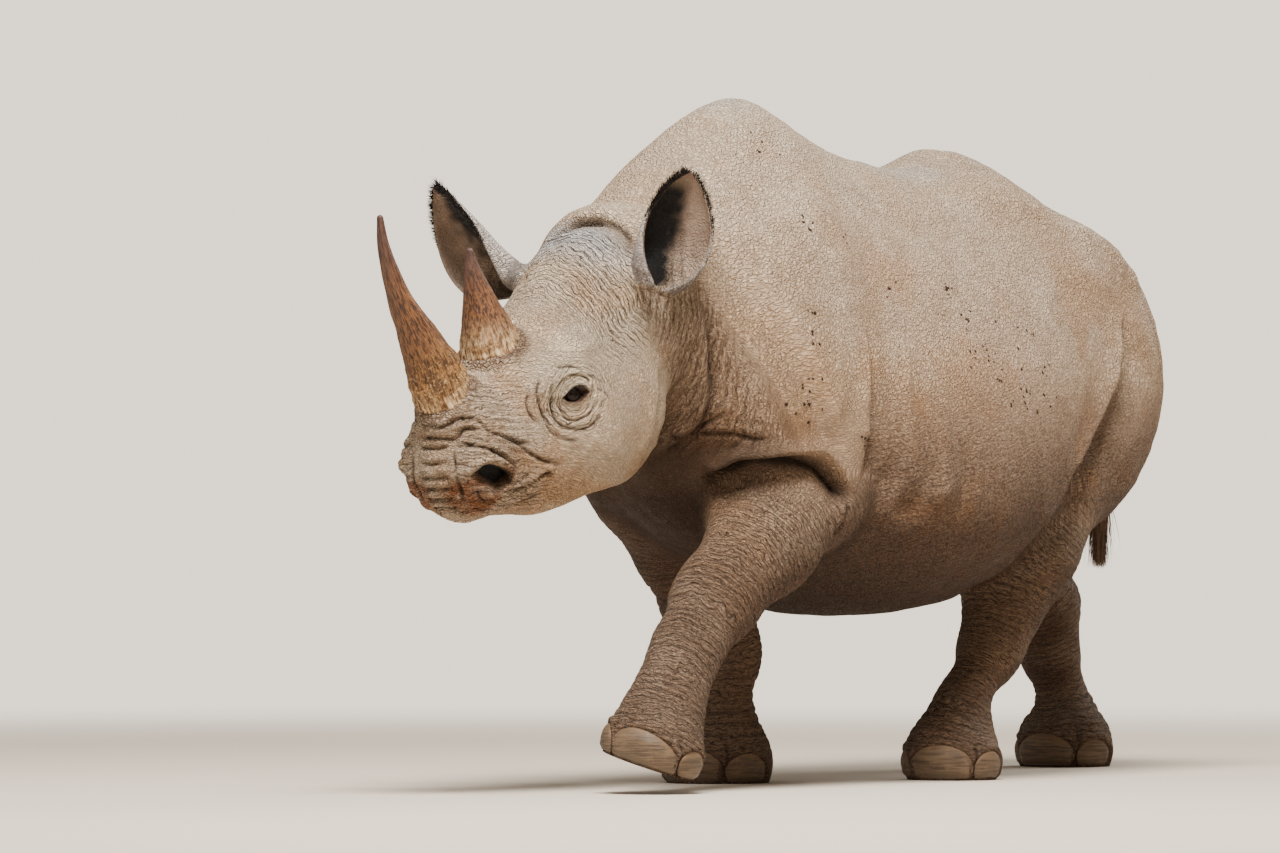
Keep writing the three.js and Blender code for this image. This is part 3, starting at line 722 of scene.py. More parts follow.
HEAD_FOLDS = {
    "lid_below": dict(points=[(423, 132, 7), (424, 131, -36), (408, 141, -54), (378, 153, -60),
                              (358, 157, -54), (347, 157, -37)], depth=4.4, width=3.4, lip=1.8, reach=5),
    "ring_two": dict(points=[(422, 141, 69), (441, 126, 12), (445, 124, -32), (427, 134, -62),
                             (399, 148, -82), (365, 160, -82), (324, 166, -61)],
                     depth=4, width=4.4, dark=1.2),
    "lid_above": dict(points=[(430, 130, 30), (407, 142, 44), (376, 148, 42), (345, 156, 18), (330, 158, -8)],
                      depth=3.6, width=3.6, lip=2, reach=6),
    "brow_line": dict(points=[(407, 142, 78), (369, 153, 59), (338, 154, 29)], depth=2.2, width=4),
    "ring_three": dict(points=[(468, 122, 42), (471, 118, -7), (468, 120, -46), (441, 130, -83),
                               (409, 145, -103)], depth=3.4, width=4.4, dark=1.2),
    "crescent_one": dict(points=[(473, 116, 64), (495, 110, 45), (500, 113, 16), (485, 117, -21)], depth=3.6,
                         width=4.4, dark=1.2),
    "crescent_two": dict(points=[(435, 127, 87), (468, 122, 47), (467, 120, -9), (463, 120, -49)], depth=3.2,
                         width=4.4, dark=1.2),
    "ray_one": dict(points=[(340, 153, 23), (315, 161, -5), (300, 163, -25)], depth=1.8, width=4),
    "ray_two": dict(points=[(330, 158, -20), (315, 161, -38), (310, 166, -62)], depth=1.8, width=4),
    "mouth_corner": dict(points=[(585, 110, 13), (533, 113, -70), (500, 116, -104), (464, 115, -132)],
                         depth=4, width=6, lip=2, reach=12, both=True),
    "nostril_fold": dict(points=[(700, 50, 62), (687, 91, 60), (669, 118, 37), (623, 121, -23),
                                 (592, 108, -70)], depth=7, width=6, lip=4, reach=12, both=True),
    "nostril_fold_two": dict(points=[(681, 35, 105), (659, 66, 106), (637, 90, 91), (630, 109, 55),
                                     (588, 111, 10), (522, 114, -49)], depth=5, width=6, lip=3, reach=10,
                             both=True),
    "bridge_one": dict(points=[(679, -38, 105), (685, 0, 105), (685, 31, 101), (659, 66, 106)], depth=3,
                       width=5, lip=1.5, reach=9, both=True, far=0),
    "bridge_two": dict(points=[(691, -45, 75), (696, 0, 80), (689, 58, 74), (667, 77, 85), (642, 106, 62)],
                       depth=5, width=6, lip=2.5, reach=9, both=True, far=0),
    "mouth": dict(points=[(757, 0, -84), (746, 35, -89), (725, 76, -89), (682, 88, -97), (665, 104, -80),
                          (617, 102, -101), (567, 100, -118), (520, 107, -120), (491, 107, -138)],
                  depth=9, width=4.5, lip=4, reach=11, taper=0.06),
    "lip_one": dict(points=[(640, 104, -80), (600, 112, -90), (556, 108, -94)], depth=3, width=5, lip=1.5,
                    reach=8, both=True),
    "chin": dict(points=[(650, 80, -140), (600, 90, -150), (540, 96, -158)], depth=2.5, width=6),
}
SNOUT_BANDS = [(703, 58), (719, 29), (731, 2), (739, -21), (745, -45), (742, -68)]    # along, crown
SNOUT_BAND = (-44, -20, 4, 28, 50)      # to the left, across the lip
LIP_GROOVES = [
    dict(points=[(700, 54, 60), (722, 60, 22), (732, 62, -14), (735, 58, -44), (728, 52, -74)], depth=6,
         width=6, lip=2, reach=9, both=True),
    dict(points=[(700, 78, -30), (712, 84, -52), (706, 86, -76)], depth=4, width=5, lip=2, reach=8,
         both=True),
    dict(points=[(746, 26, -70), (742, 30, -84), (730, 34, -96)], depth=7, width=5, taper=0.05),
]
CHEEK_EDGE = [(300, 110, -285), (287, 134, -266), (241, 161, -225), (179, 174, -159), (139, 174, -105),
              (112, 176, -50)]
HORN_COLLARS = [(612, 110, 66), (426, 110, 72)]      # along, crown and girth
BROW_RIDGE = [(470, 60, 146), (452, 71, 135), (381, 133, 92), (300, 150, 66), (259, 152, 44)]

EYE_OPENING = {"along": 380, "crown": -5, "tilt": 22, "half": 32, "above": 19, "below": 14.5, "deep": 19}
NOSTRIL = [(718, 4), (691, 10), (658, -14), (624, -56), (632, -72), (656, -70), (680, -66), (712, -28)]
NOSTRIL_DEEP = 40


def sculpt_body(skin):
    """Folds, ribs and hips of the body, with a soft unevenness of muscle under the hide."""
    for shape in (*BODY_FOLDS.values(), FAR_FLANK):
        body_fold(skin, **shape)
    fold(skin, [at(*p) for p in POLL_FOLD], depth=18, width=11, lip=9, reach=30, step=9, taper=0.12)
    for centre, height, sizes in SPINE_SWELLS:
        mound(skin, centre, height, sizes, far=False)
    for centre, height, sizes in BELLY_HOLLOWS:
        mound(skin, centre, height, sizes)
    skin.height += 3.4 * noise(skin.p, 160.0, 5) + 3.0 * noise(skin.p, 70.0, 6) + 1.3 * noise(skin.p, 26.0, 7)


def sculpt_head(skin):
    """Collars round the horns, the folds of the face and the bands of the lip."""
    for place, crown, girth in HORN_COLLARS:
        gap = np.hypot(skin.head[:, 0] - place, skin.head[:, 1])
        collar = soft(skin.head[:, 2], crown - 50, crown) * soft(skin.head[:, 2], 260, 230)
        skin.height += 5 * collar * hill(gap - girth, 10) * (1 + 0.8 * noise(skin.p, 12.0, 25))
        skin.tint("ochre", slice(None), 0.7 * collar * soft(gap, girth + 26, girth + 4))
        skin.tint("rough", slice(None), collar * soft(gap, girth + 26, girth + 4))
    head_fold(skin, CHEEK_EDGE, depth=2, width=12, lip=7, reach=28, drop=13, fall=44, shade=0.22, far=0.4,
              dark=0.1, taper=0.5)
    head_fold(skin, BROW_RIDGE, depth=-5, width=15, dark=0)
    for shape in (*HEAD_FOLDS.values(), *LIP_GROOVES):
        head_fold(skin, **shape)
    for along, crown in SNOUT_BANDS:
        band = [(along - 0.0045 * left * left, left, crown) for left in SNOUT_BAND]
        head_fold(skin, band, depth=6, width=5.5, lip=5, reach=12, both=True, taper=0.3, dark=0.55, far=0)


def open_eyes(skin):
    """Lids swell round each opening, and the skin inside it goes in behind the ball."""
    shape = EYE_OPENING
    c, s = cos_sin(shape["tilt"])
    for side in (1, -1):
        u, v = skin.head[:, 0] - shape["along"], skin.head[:, 2] - shape["crown"]
        near = np.flatnonzero((skin.head[:, 1] * side > 60) & (np.hypot(u, v) < 110))
        u, v = (u * c + v * s)[near], (v * c - u * s)[near]
        arch = np.maximum(1 - (u / shape["half"]) ** 2, -3)
        rim = np.where(v > 0, v - shape["above"] * arch, -v - shape["below"] * arch)
        inside = rim < 0
        rim = np.where(np.abs(u) > shape["half"], np.hypot(np.abs(u) - shape["half"], v), np.abs(rim))
        rim = np.where(inside, -rim, rim)
        swell = (7 * hill(np.hypot(u / 1.25, v), 36)
                 + np.where(v > 0, 3.2 * hill(rim - 6, 5), 2 * hill(rim - 5, 5)))
        skin.height[near] += swell
        skin.move[near] -= np.outer(shape["deep"] * soft(rim, 1.5, -3.5), side * ASIDE)
        # dark lid skin round the opening, with painted shade where the opening is sunk
        skin.tint("lid", near, soft(rim, 6, 0.0) + 0.35 * soft(rim, 16, 5))


def polygon_distance(q, corners):
    """Distance to a closed outline, negative inside."""
    inside, best = np.zeros(len(q), bool), np.full(len(q), np.inf)
    for a, b in zip(corners, np.roll(corners, -1, 0)):
        step = b - a
        t = np.clip(((q - a) @ step) / (step @ step), 0, 1)
        best = np.minimum(best, np.linalg.norm(q - a - t[:, None] * step, axis=1))
        crosses = (a[1] > q[:, 1]) != (b[1] > q[:, 1])
        level = a[0] + (q[:, 1] - a[1]) * (b[0] - a[0]) / (b[1] - a[1] if b[1] != a[1] else 1e-9)
        inside ^= crosses & (q[:, 0] < level)
    return np.where(inside, -best, best)


def open_nostrils(skin):
    """A swollen rim round each nostril, and a pit inwards and back from it, darkened with painted shade."""
    closed = np.array(NOSTRIL + NOSTRIL[:2], float)
    outline = curve(np.column_stack([closed, np.zeros(len(closed))]), 5)[:, :2]
    outline = outline[:int(len(outline) * len(NOSTRIL) / (len(NOSTRIL) + 1))]
    centre = outline.mean(0)
    for side in (1, -1):
        gap = np.hypot(skin.head[:, 0] - centre[0], skin.head[:, 2] - centre[1])
        near = np.flatnonzero((skin.head[:, 1] * side > 40) & (gap < 110))
        rim = polygon_distance(skin.head[near][:, [0, 2]], outline)
        skin.height[near] += 5 * hill(rim - 7, 7) - 1.5 * hill(rim - 20, 6)
        skin.move[near] -= np.outer(NOSTRIL_DEEP * soft(rim, 2, -15), 0.8 * side * ASIDE + 0.6 * ALONG)
        # painted shade inside the nostril
        skin.tint("inside", near, soft(rim, 1, -13))
        # painted shade round the nostril's pit
        skin.tint("brown_and_shade", near, soft(rim, 6, -2))
        skin.tint("stain", near, 0.6 * soft(rim, 20, 3) * soft(skin.head[near, 2], 10, -40))


LEG_TOP = 640
LEG_FADE = (720, 560)       # heights between which a leg turns into body
LOW_SIDE = (1000, 700)      # heights between which the side gets its level wrinkles
KNEES = (430, 150)          # heights of the joints with the deepest wrinkles
NEAR_FLESH = 60             # how far outside a piece's box its own skin may lie
SQUEEZE = 1.3               # how much closer the fine wrinkles lie on legs
TURN_IN = 1.04              # and on neck and forehead
STAINS = [((730, 54, -42), 1.0, 32), ((719, 84, -38), 1.0, 32), ((717, 72, -72), 1.0, 34),
          ((694, 86, -84), 0.9, 26)]
OCHRE_PATCHES = [((230, 300, 880), 0.7, 95), ((-130, 380, 860), 0.5, 75), ((-330, 380, 900), 0.4, 160),
                 ((-830, 90, 1430), 0.5, 90), ((330, 240, 1000), 0.5, 110), ((-250, 350, 1180), 0.3, 170)]


class Zones:
    """How far each point of the skin is on the head, a leg, the neck and so on, from 0 to 1."""

    def __init__(self, skin):
        p, (along, left, crown) = skin.p, skin.head.T
        z, forward, open_skin = p[:, 2], -p[:, 1], 1 - skin.mask["inside"]
        face_gap = np.full(len(p), FAR_OFF)
        near = in_box(p, *HEAD_BOX, NEAR_FLESH)
        face_gap[near] = face(p[near])
        self.head = soft(face_gap, 34, 4)
        self.leg = np.zeros(len(p))
        self.round_leg = z.copy()       # the place along the bent leg
        for name, shape in LEGS.items():
            piece, low, high = legs[name]
            near = np.flatnonzero(in_box(p, low, high, NEAR_FLESH))
            weight = soft(piece(p[near]), 40, 4) * soft(z[near], *LEG_FADE)
            place = limb_place(p[near], shape["joints"]) + shape["joints"][-1][2]
            better = weight > self.leg[near]
            self.leg[near[better]] = weight[better]
            self.round_leg[near[better]] = place[better]
        self.body = (1 - self.leg) * (1 - self.head)
        self.forehead = self.head * soft(along, 10, 50) * soft(along, 300, 210) * soft(crown, -70, 10)
        self.neck = ((0.25 * soft(along, -200, -110) + 0.75 * soft(along, -75, -25)) * soft(along, 150, 90)
                     * soft(face_gap, 3, 16) * soft(z, 700, 800) * soft(crown, 200, 130))
        self.up_neck = 0.84 * along + 0.54 * crown
        self.low_side = self.body * soft(z, *LOW_SIDE) * soft(forward, 60, -20)
        self.muzzle = self.head * soft(along, 520, 600) * open_skin
        self.side_face = self.head * soft(along, 430, 560) * soft(np.abs(left), 40, 75) * open_skin


def wrinkle(skin, zone):
    """Wrinkles across the forehead, up the neck, round legs, eyes and tail, and along muzzle and flank."""
    p, (along, left, crown) = skin.p, skin.head.T
    z, forward, across = p[:, 2], -p[:, 1], np.abs(left)
    over_brow = along - 0.33 * across + 0.5 * np.maximum(50 - crown, 0)
    over_lip = 0.85 * crown - 0.53 * along
    off_eye = np.hypot((along - EYE_OPENING["along"]) / 1.15, crown - EYE_OPENING["crown"])
    knees = zone.leg * np.maximum(*(hill(z - height, 60) for height in KNEES))
    for weight, phase, spacing, depth, seed, wander in (
            (zone.forehead, over_brow, 16.0, 2.6, 20, 0.6), (zone.neck, zone.up_neck, 17.0, 3.0, 30, 0.6),
            (zone.leg * soft(z, 40, 90), zone.round_leg, 19.0, 1.6, 40, 0.8),
            (knees, zone.round_leg, 26.0, 3.0, 50, 0.6),
            (zone.side_face * soft(along, 480, 600), over_lip, 17.0, 1.3, 70, 0.9)):
        ripples(skin, weight, phase, spacing, depth, seed, wander)
    around_eye = zone.head * soft(across, 90, 115) * soft(off_eye, 26, 36) * soft(off_eye, 112, 62)
    for weight, phase in (
            (0.95 * zone.forehead, over_brow), (0.7 * zone.neck, zone.up_neck),
            (zone.leg * soft(z, 30, 80), zone.round_leg),
            (0.75 * zone.low_side * soft(-skin.n[:, 2], 1.0, 0.8), z + 0.25 * forward),
            (0.8 * zone.side_face, over_lip),
            (around_eye * (0.7 + 0.3 * soft(along - crown, 380, 430)), off_eye),
            (soft(forward, -1540, -1590) * soft(z, 400, 500), z)):
        fine_rings(skin, weight, phase)
    skin.height += zone.muzzle * (0.8 * noise(p, 9.0, 8) + 0.4 * noise(p, 6.0, 9))


def lay_wrinkles(skin, zone):
    """The material's own fine wrinkles follow this: round the legs, up the neck and across the forehead."""
    z, along = skin.p[:, 2], skin.head[:, 0]
    turned = (zone.head * soft(along, 480, 300) + zone.neck).clip(0, 1)
    skin.lie[:, 1] -= TURN_IN * turned * (zone.up_neck - 60)
    skin.lie[:, 2] += SQUEEZE * zone.leg * (zone.round_leg - LEG_TOP)
    skin.lie[:, 2] += 0.8 * (1 - zone.leg) * (1 - turned) * soft(z, *LOW_SIDE) * (z - 850)


def tint_body(skin, zone):
    """Browner tone with painted shade low down and where the skin faces down, painted shade between the legs
    and under the belly, ochre patches, pale with a painted highlight on top.
    """
    p, n, (along, left, crown) = skin.p, skin.n, skin.head.T
    z, forward, across = p[:, 2], -p[:, 1], np.abs(left)
    patches = noise(p, 190.0, 12) + 0.5 * noise(p, 80.0, 13)
    # darker and browner low down, partly painted shade, and painted shade where the skin faces down
    brown_and_shade = (0.95 * (1 - 0.25 * zone.leg) * soft(z + 60 * patches, 860, 430)
            + 0.7 * soft(-n[:, 2], 0.1, 0.9) * soft(z, 1150, 800))
    skin.mask["brown_and_shade"] = np.clip(brown_and_shade, 0, 1) * (1 - 0.92 * zone.head)
    between_legs = (soft(forward, -60, 120) * soft(np.abs(p[:, 0]), 330, 240)
                    * soft(z - 0.3 * forward, 780, 600))
    skin.tint("shade", slice(None), 0.75 * between_legs * zone.body)
    skin.tint("shade", slice(None), 0.5 * zone.body * soft(n[:, 2], -0.55, -0.95))
    ochre = 0.55 * soft(patches, 0.0, 0.75)
    ragged = 0.7 + 0.5 * noise(p, 60.0, 14)
    for centre, amount, size in OCHRE_PATCHES:
        for spot in (centre, mirrored([centre])[0]):
            ochre = np.maximum(ochre, amount * hill(np.linalg.norm(p - at(*spot), axis=1), size) * ragged)
    ochre = np.maximum(ochre, 0.75 * zone.head * soft(noise(p, 60.0, 15), -0.1, 0.5))
    ochre += 0.4 * zone.body * soft(z, 1150, 760) + 0.3 * zone.head * soft(crown, 20, -110)
    skin.mask["ochre"] = np.clip(ochre, 0, 1)
    poll = zone.head * soft(along, 160, 60) * soft(crown, 120, 190)
    back = soft(n[:, 2], 0.75, 1) * soft(z, 1150, 1400) * soft(noise(p, 120.0, 16), -0.3, 0.6)
    skin.mask["grey"] = np.clip(poll + 0.5 * back, 0, 1)
    # pale face and dust, with a painted highlight on the brow and where the skin faces up on top
    brow = soft(across, 60, 130) * soft(np.abs(along - 330), 150, 40) * soft(np.abs(crown - 60), 90, 20)
    pale_face = (0.3 * soft(along, 600, 450) + 0.45 * soft(along, 540, 640) + 0.9 * brow
                 + 0.25 * hill(across - 165, 40))
    skin.mask["pale"] = np.clip(zone.head * pale_face + 0.5 * soft(n[:, 2], 0.2, 0.9) * soft(z, 1000, 1350),
                                0, 1)
    rough = 0.45 * zone.muzzle + 0.7 * zone.leg + 0.6 * zone.neck + zone.low_side
    skin.tint("rough", slice(None), np.clip(rough, 0, 1))
    mottled = zone.head * soft(noise(p, 22.0, 17), -1.1, -0.3)
    for centre, amount, size in STAINS:
        for side in (1, -1):
            gap = np.linalg.norm(skin.head - np.array(centre) * (1, side, 1), axis=1)
            skin.tint("stain", slice(None), mottled * np.minimum(1.9 * amount * hill(gap, size), 1))


def tint_ears(skin):
    """Hairless inside, where painted shade darkens the cup's wall and turns its side towards the other ear
    near black; grey with a paler lower wall outside.
    """
    for ear in ears.values():
        low, high = ear.field(EAR_THICK)[1:]
        near = np.flatnonzero(in_box(skin.p, low, high))
        h, angle, off, radius, wrap = ear.local(skin.p[near])
        at_ear = (np.abs(off) < 9) & (np.abs(angle) < wrap + 0.4) & (h > 0.02) & (h < 1.08)
        cup = ((off < 0) & (h > 0.03) & (h < 1.05) & ((np.abs(angle) < wrap + 0.1) | (h < 0.3))
               & ((off > -9) | (h < 0.55)))
        inner = ear.inner * angle
        ragged = 0.2 * noise(skin.p[near], 16.0, 18) + 0.5 * soft(h, 0.3, 0.05)
        dark_wall = soft(inner + ragged, -0.6, 0.2) * soft(inner, wrap * 1.1, wrap * 0.9)
        # painted shade, near black, on the cup's wall towards the other ear
        skin.tint("inside", near, np.where(cup, dark_wall * soft(h, 0.98, 0.8), 0))
        # darker brown inside the cup, painted shade
        skin.tint("wall", near, np.where(cup, 1 - 0.2 * soft(h, 0.5, 0.15), 0))
        skin.tint("grey", near, np.where(at_ear & ~cup, 0.75, 0))
        skin.mask["grey"][near] *= np.where(cup, 0.2, 1)
        for name in ("pale", "rings", "ochre", "brown_and_shade", "stain"):
            skin.mask[name][near] *= np.where(cup, 0, np.where(at_ear, 0.25, 1))


NAILS = [(0, 42, 82), (70, 26, 68), (-70, 26, 68)]      # swing, half width in degrees, top
NAIL_BELLY = 26
NAIL_FOOT = 5
TOE_CLEFT = 46          # degrees from the middle of the foot
NAIL_PROUD = 6


def sole_and_toes(skin):
    """Clefts between the toes, a cuticle swelling round each nail and a flat sole."""
    for name, shape in LEGS.items():
        forward, left, up, radius = shape["joints"][-1]
        near = np.flatnonzero(np.linalg.norm(skin.p - at(forward, left, up), axis=1) < radius * 1.9)
        height = above_sole(shape, skin.p[near])
        spin = np.arctan2((skin.p[near, 0] - left) * np.sign(left), -skin.p[near, 1] - forward)
        spin = wrapped(spin - math.radians(shape["turn"]))
        wall = soft(np.abs(skin.n[near, 2]), 0.85, 0.5)
        for swing, half, top in NAILS:
            gap = wrapped(spin - math.radians(swing))
            oval = np.hypot(gap / math.radians(half), (height - NAIL_BELLY) / (top - NAIL_BELLY)) - 1
            rim = oval * (top - NAIL_BELLY)
            cuticle = 5.0 * hill(rim - 9, 7) - 3.0 * hill(rim + 1, 5)
            skin.height[near] += wall * cuticle * soft(height, 2, 14)
            skin.tint("ochre", near, 0.25 * hill(rim - 6, 7) * wall)
            # painted shade in the groove round the nail
            skin.tint("crease_shade", near, 0.5 * hill(rim - 1, 3) * wall)
        for cleft in (TOE_CLEFT, -TOE_CLEFT):
            gap = radius * (spin - math.radians(cleft))
            skin.height[near] -= 7 * hill(gap, 9) * soft(height, 135, 70) * wall
            # painted shade in the cleft between the toes
            skin.tint("crease_shade", near, 0.7 * hill(gap, 5) * soft(height, 120, 60) * wall)


def mesh_object(name, points, faces, body="root", smooth=True):
    mesh = bpy.data.meshes.new(name)
    points = np.asarray(points, np.float32)
    faces = np.asarray(faces)
    size = faces.shape[1]
    mesh.vertices.add(len(points))
    mesh.vertices.foreach_set("co", points.ravel())
    mesh.loops.add(faces.size)
    mesh.loops.foreach_set("vertex_index", faces.ravel().astype(np.int32))
    mesh.polygons.add(len(faces))
    mesh.polygons.foreach_set("loop_start", np.arange(0, faces.size, size, dtype=np.int32))
    mesh.polygons.foreach_set("loop_total", np.full(len(faces), size, np.int32))
    mesh.polygons.foreach_set("use_smooth", np.full(len(faces), smooth))
    mesh.update(calc_edges=True)
    thing = bpy.data.objects.new(name, mesh)
    bpy.context.scene.collection.objects.link(thing)
    if body:
        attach(thing, body)
    return thing


def give_values(thing, name, values):
    """A number or a vector at every point, for the materials to read."""
    values = np.asarray(values, np.float32)
    kind, key = ("FLOAT", "value") if values.ndim == 1 else ("FLOAT_VECTOR", "vector")
    thing.data.attributes.new(name, kind, "POINT").data.foreach_set(key, values.ravel())


# ---- the skin --------------------------------------------------------------------------------------
PLAIN, FINE, FINEST = VOXEL * 1.6, VOXEL * 0.95, VOXEL * 0.48      # lengths of the skin's edges
FACE_FRONT = 640        # along the head; the muzzle is finest from here
FINE_BY_FOLDS = 36
EAR_NEAR = (190, 120)   # relief fades out between these distances from an ear's middle
EYE_SPOT, NOSTRIL_SPOT = ((381, 135, -5), 70), ((672, 108, -25), 80)     # places on the head, and their reach


def wanted_length(p):
    """How long the skin's edges may be, in millimetres, before they are split."""
    head = (p - HEAD_AT) @ HEAD_AXES.T
    length = np.full(len(p), PLAIN)
    before_neck = p[:, 1] < -330
    near_head = (head[:, 0] > -170) & (np.abs(head[:, 1]) < 260) & (p[:, 2] > 690)
    length[near_head & before_neck] = FINE
    length[p[:, 2] < LEG_TOP] = FINE
    for ear in ears.values():
        length[ear.distance(p, 0.5) < EAR_NEAR[0]] = FINE
    for path in BODY_FOLDS.values():
        if path.get("dark", 1):
            for points in (path["points"], mirrored(path["points"])):
                for spot in curve([at(*q) for q in points], 30):
                    length[((p - spot) ** 2).sum(1) < FINE_BY_FOLDS ** 2] = FINE
    for side in (1, -1):
        for spot, reach in (EYE_SPOT, NOSTRIL_SPOT):
            length[np.linalg.norm(head - np.array(spot) * (1, side, 1), axis=1) < reach] = FINEST
    length[(head[:, 0] > FACE_FRONT) & before_neck] = FINEST
    return length


def split_long(p, triangles):
    corners = p[triangles]
    sides = corners - np.roll(corners, -1, 1)
    longest = np.sqrt((sides ** 2).sum(-1).max(1))
    return refine(p, triangles, longest > wanted_length(corners.mean(1)))


def flatten_soles(points, shape):
    """Lays what is lowest on each foot flat on its sole, without the relief, and lets nothing sink below."""
    for leg in LEGS.values():
        forward, left, up, radius = leg["joints"][-1]
        over = above_sole(leg, points)
        near = (np.hypot(points[:, 0] - left, -points[:, 1] - forward) < radius * 1.6) & (over < 60)
        lowest = near & (over < 1.0)
        shape[lowest] = points[lowest]
        shape[lowest, 2] -= over[lowest]
        shape[near, 2] += np.maximum(-above_sole(leg, shape[near]), 0)


GRID_MARGIN = 30
EAR_ON_GRID = 19       # thick enough for the grid; the ears then settle to EAR_THICK
low = (np.array(cad_low) - ORIGIN) / MM - GRID_MARGIN
high = (np.array(cad_high) - ORIGIN) / MM + GRID_MARGIN
points, triangles = grid_mesh(flesh(EAR_ON_GRID), low, high, VOXEL)
exact = flesh(EAR_THICK)
points = settle(exact, points, 2)
for _ in range(2):
    points, triangles = split_long(points, triangles)
points = settle(exact, points, 1)
skin = Skin(points, triangles)
sculpt_body(skin)
sculpt_head(skin)
open_eyes(skin)
open_nostrils(skin)
zones = Zones(skin)
wrinkle(skin, zones)
lay_wrinkles(skin, zones)
tint_body(skin, zones)
tint_ears(skin)
sole_and_toes(skin)
ear_gap = np.min([ear.distance(points, 0.6) for ear in ears.values()], 0)
skin.height *= 1 - 0.9 * soft(ear_gap, *EAR_NEAR)
shape = points + skin.height[:, None] * skin.n + skin.move
flatten_soles(points, shape)
hide_skin = mesh_object("skin", world(shape), triangles)
FLESH = ["head", "jaw", "ear_left", "ear_right", "neck", "trunk", "tail", *LEGS]
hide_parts(*FLESH)
for name in MASKS:
    give_values(hide_skin, name, np.clip(skin.mask[name], 0, 1))
give_values(hide_skin, "lie", (skin.lie + shape - points) / 10)
give_values(hide_skin, "phase", skin.phase)


# ---- materials -------------------------------------------------------------------------------------
def rgb(red, green, blue):
    """The linear colour, with alpha, of a display colour."""
    c = np.array([red, green, blue]) / 255
    return (*np.where(c <= 0.04045, c / 12.92, ((c + 0.055) / 1.055) ** 2.4), 1)


def palette(colours):
    return {name: rgb(*colour) for name, colour in colours.items()}


class Material:
    """A node material, built from short calls."""

    def __init__(self, name, roughness=0.6, specular=0.4):
        self.data = bpy.data.materials.new(name)
        self.data.use_nodes = True
        self.tree = self.data.node_tree
        self.shader = self.tree.nodes["Principled BSDF"]
        self.shader.inputs["Roughness"].default_value = roughness
        self.shader.inputs["Specular IOR Level"].default_value = specular

    def add(self, kind, inputs, output=0, **settings):
        node = self.tree.nodes.new("ShaderNode" + kind)
        for key, value in settings.items():
            setattr(node, key, value)
        for key, value in inputs.items():
            if isinstance(value, bpy.types.NodeSocket):
                self.tree.links.new(value, node.inputs[key])
            else:
                node.inputs[key].default_value = value
        return node.outputs[output]

    def number(self, name):
        return self.add("Attribute", {}, "Fac", attribute_name=name)

    def vector(self, name):
        return self.add("Attribute", {}, "Vector", attribute_name=name)

    def math(self, operation, a, b=0.0):
        return self.add("Math", {0: a, 1: b}, operation=operation)

    def total(self, *values):
        return reduce(lambda a, b: self.math("ADD", a, b), values)

    def product(self, *values):
        return reduce(lambda a, b: self.math("MULTIPLY", a, b), values)

    def rest(self, value):
        return self.math("SUBTRACT", 1.0, value)

    def noise(self, vector, scale, detail=2.0, roughness=0.5):
        inputs = {"Vector": vector, "Scale": scale, "Detail": detail, "Roughness": roughness}
        return self.add("TexNoise", inputs)

    def about_zero(self, noise, size=1.0):
        return self.product(self.math("SUBTRACT", noise, 0.5), size)

    def cells(self, vector, scale, feature="DISTANCE_TO_EDGE"):
        return self.add("TexVoronoi", {"Vector": vector, "Scale": scale}, feature=feature)

    def ramp(self, value, start, end, low=0.0, high=1.0):
        inputs = {"Value": value, "From Min": start, "From Max": end, "To Min": low, "To Max": high}
        return self.add("MapRange", inputs, interpolation_type="SMOOTHSTEP")

    def mix(self, share, a, b, blend="MIX"):
        return self.add("Mix", {0: share, 6: a, 7: b}, 2, data_type="RGBA", blend_type=blend)

    def layers(self, colour, tone, rows):
        """Lays tones over a colour in turn. A row has the tone's name, its share and perhaps its blend."""
        for name, share, *blend in rows:
            colour = self.mix(share, colour, tone[name], *blend)
        return colour

    def scaled(self, vector, factors):
        return self.add("VectorMath", {0: vector, 1: factors}, operation="MULTIPLY")

    def finish(self, colour, height=None, distance=0.002, strength=1.0, roughness=None):
        self.tree.links.new(colour, self.shader.inputs["Base Color"])
        if roughness is not None:
            self.tree.links.new(roughness, self.shader.inputs["Roughness"])
        if height is not None:
            inputs = {"Height": height, "Distance": distance, "Strength": strength}
            self.tree.links.new(self.add("Bump", inputs), self.shader.inputs["Normal"])
        return self.data


# Painted shade: the tones for the gaps between plates, wrinkle lines, shade, creases, nostril and ear pits,
# the ear cup's wall and the lids. The low brown tone also holds painted shade, and the pale tone a painted
# highlight.
HIDE_COLOURS = {
    "dust": (226, 198, 168), "pale_dust": (246, 224, 196), "ochre": (216, 164, 112), "brown_and_shade": (116, 82, 58),
    "pale": (252, 237, 210), "grey": (226, 228, 232), "wall": (98, 78, 67), "wall_lit": (138, 116, 102),
    "stain": (164, 92, 28), "crevice_shade": (116, 80, 58), "ring": (92, 60, 44), "worn": (128, 98, 74),
    "grain": (246, 230, 206), "speck": (110, 80, 58), "shade": (70, 50, 40), "crease_shade": (50, 33, 23),
    "inside": (4, 3, 3), "lid": (40, 25, 19), "lid_lit": (72, 44, 32),
}
RING_LINES = ((13.5, 0.42), (7.1, 0.5))     # spacing in millimetres and how wide the dark of each line is


def ring_lines(m, spot, strength):
    """Dark lines of painted shade in fine wrinkles, square to the way the skin's phase grows, broken here and
    there.
    """
    stray = m.total(m.about_zero(m.noise(spot, 17.0), 3.6), m.about_zero(m.noise(spot, 62.0), 1.1))
    phase = m.number("phase")
    lines = []
    for spacing, width in RING_LINES:
        beat = m.total(m.math("DIVIDE", phase, spacing), stray)
        wave = m.math("ABSOLUTE", m.math("SINE", m.product(beat, math.pi)))
        lines.append(m.ramp(wave, 0.0, width, 1.0, 0.0))
    broken = m.ramp(m.noise(spot, 45.0, 2.0, 0.6), 0.34, 0.48)
    return m.product(m.math("MAXIMUM", m.product(lines[0], broken), m.product(lines[1], 0.6)), strength)


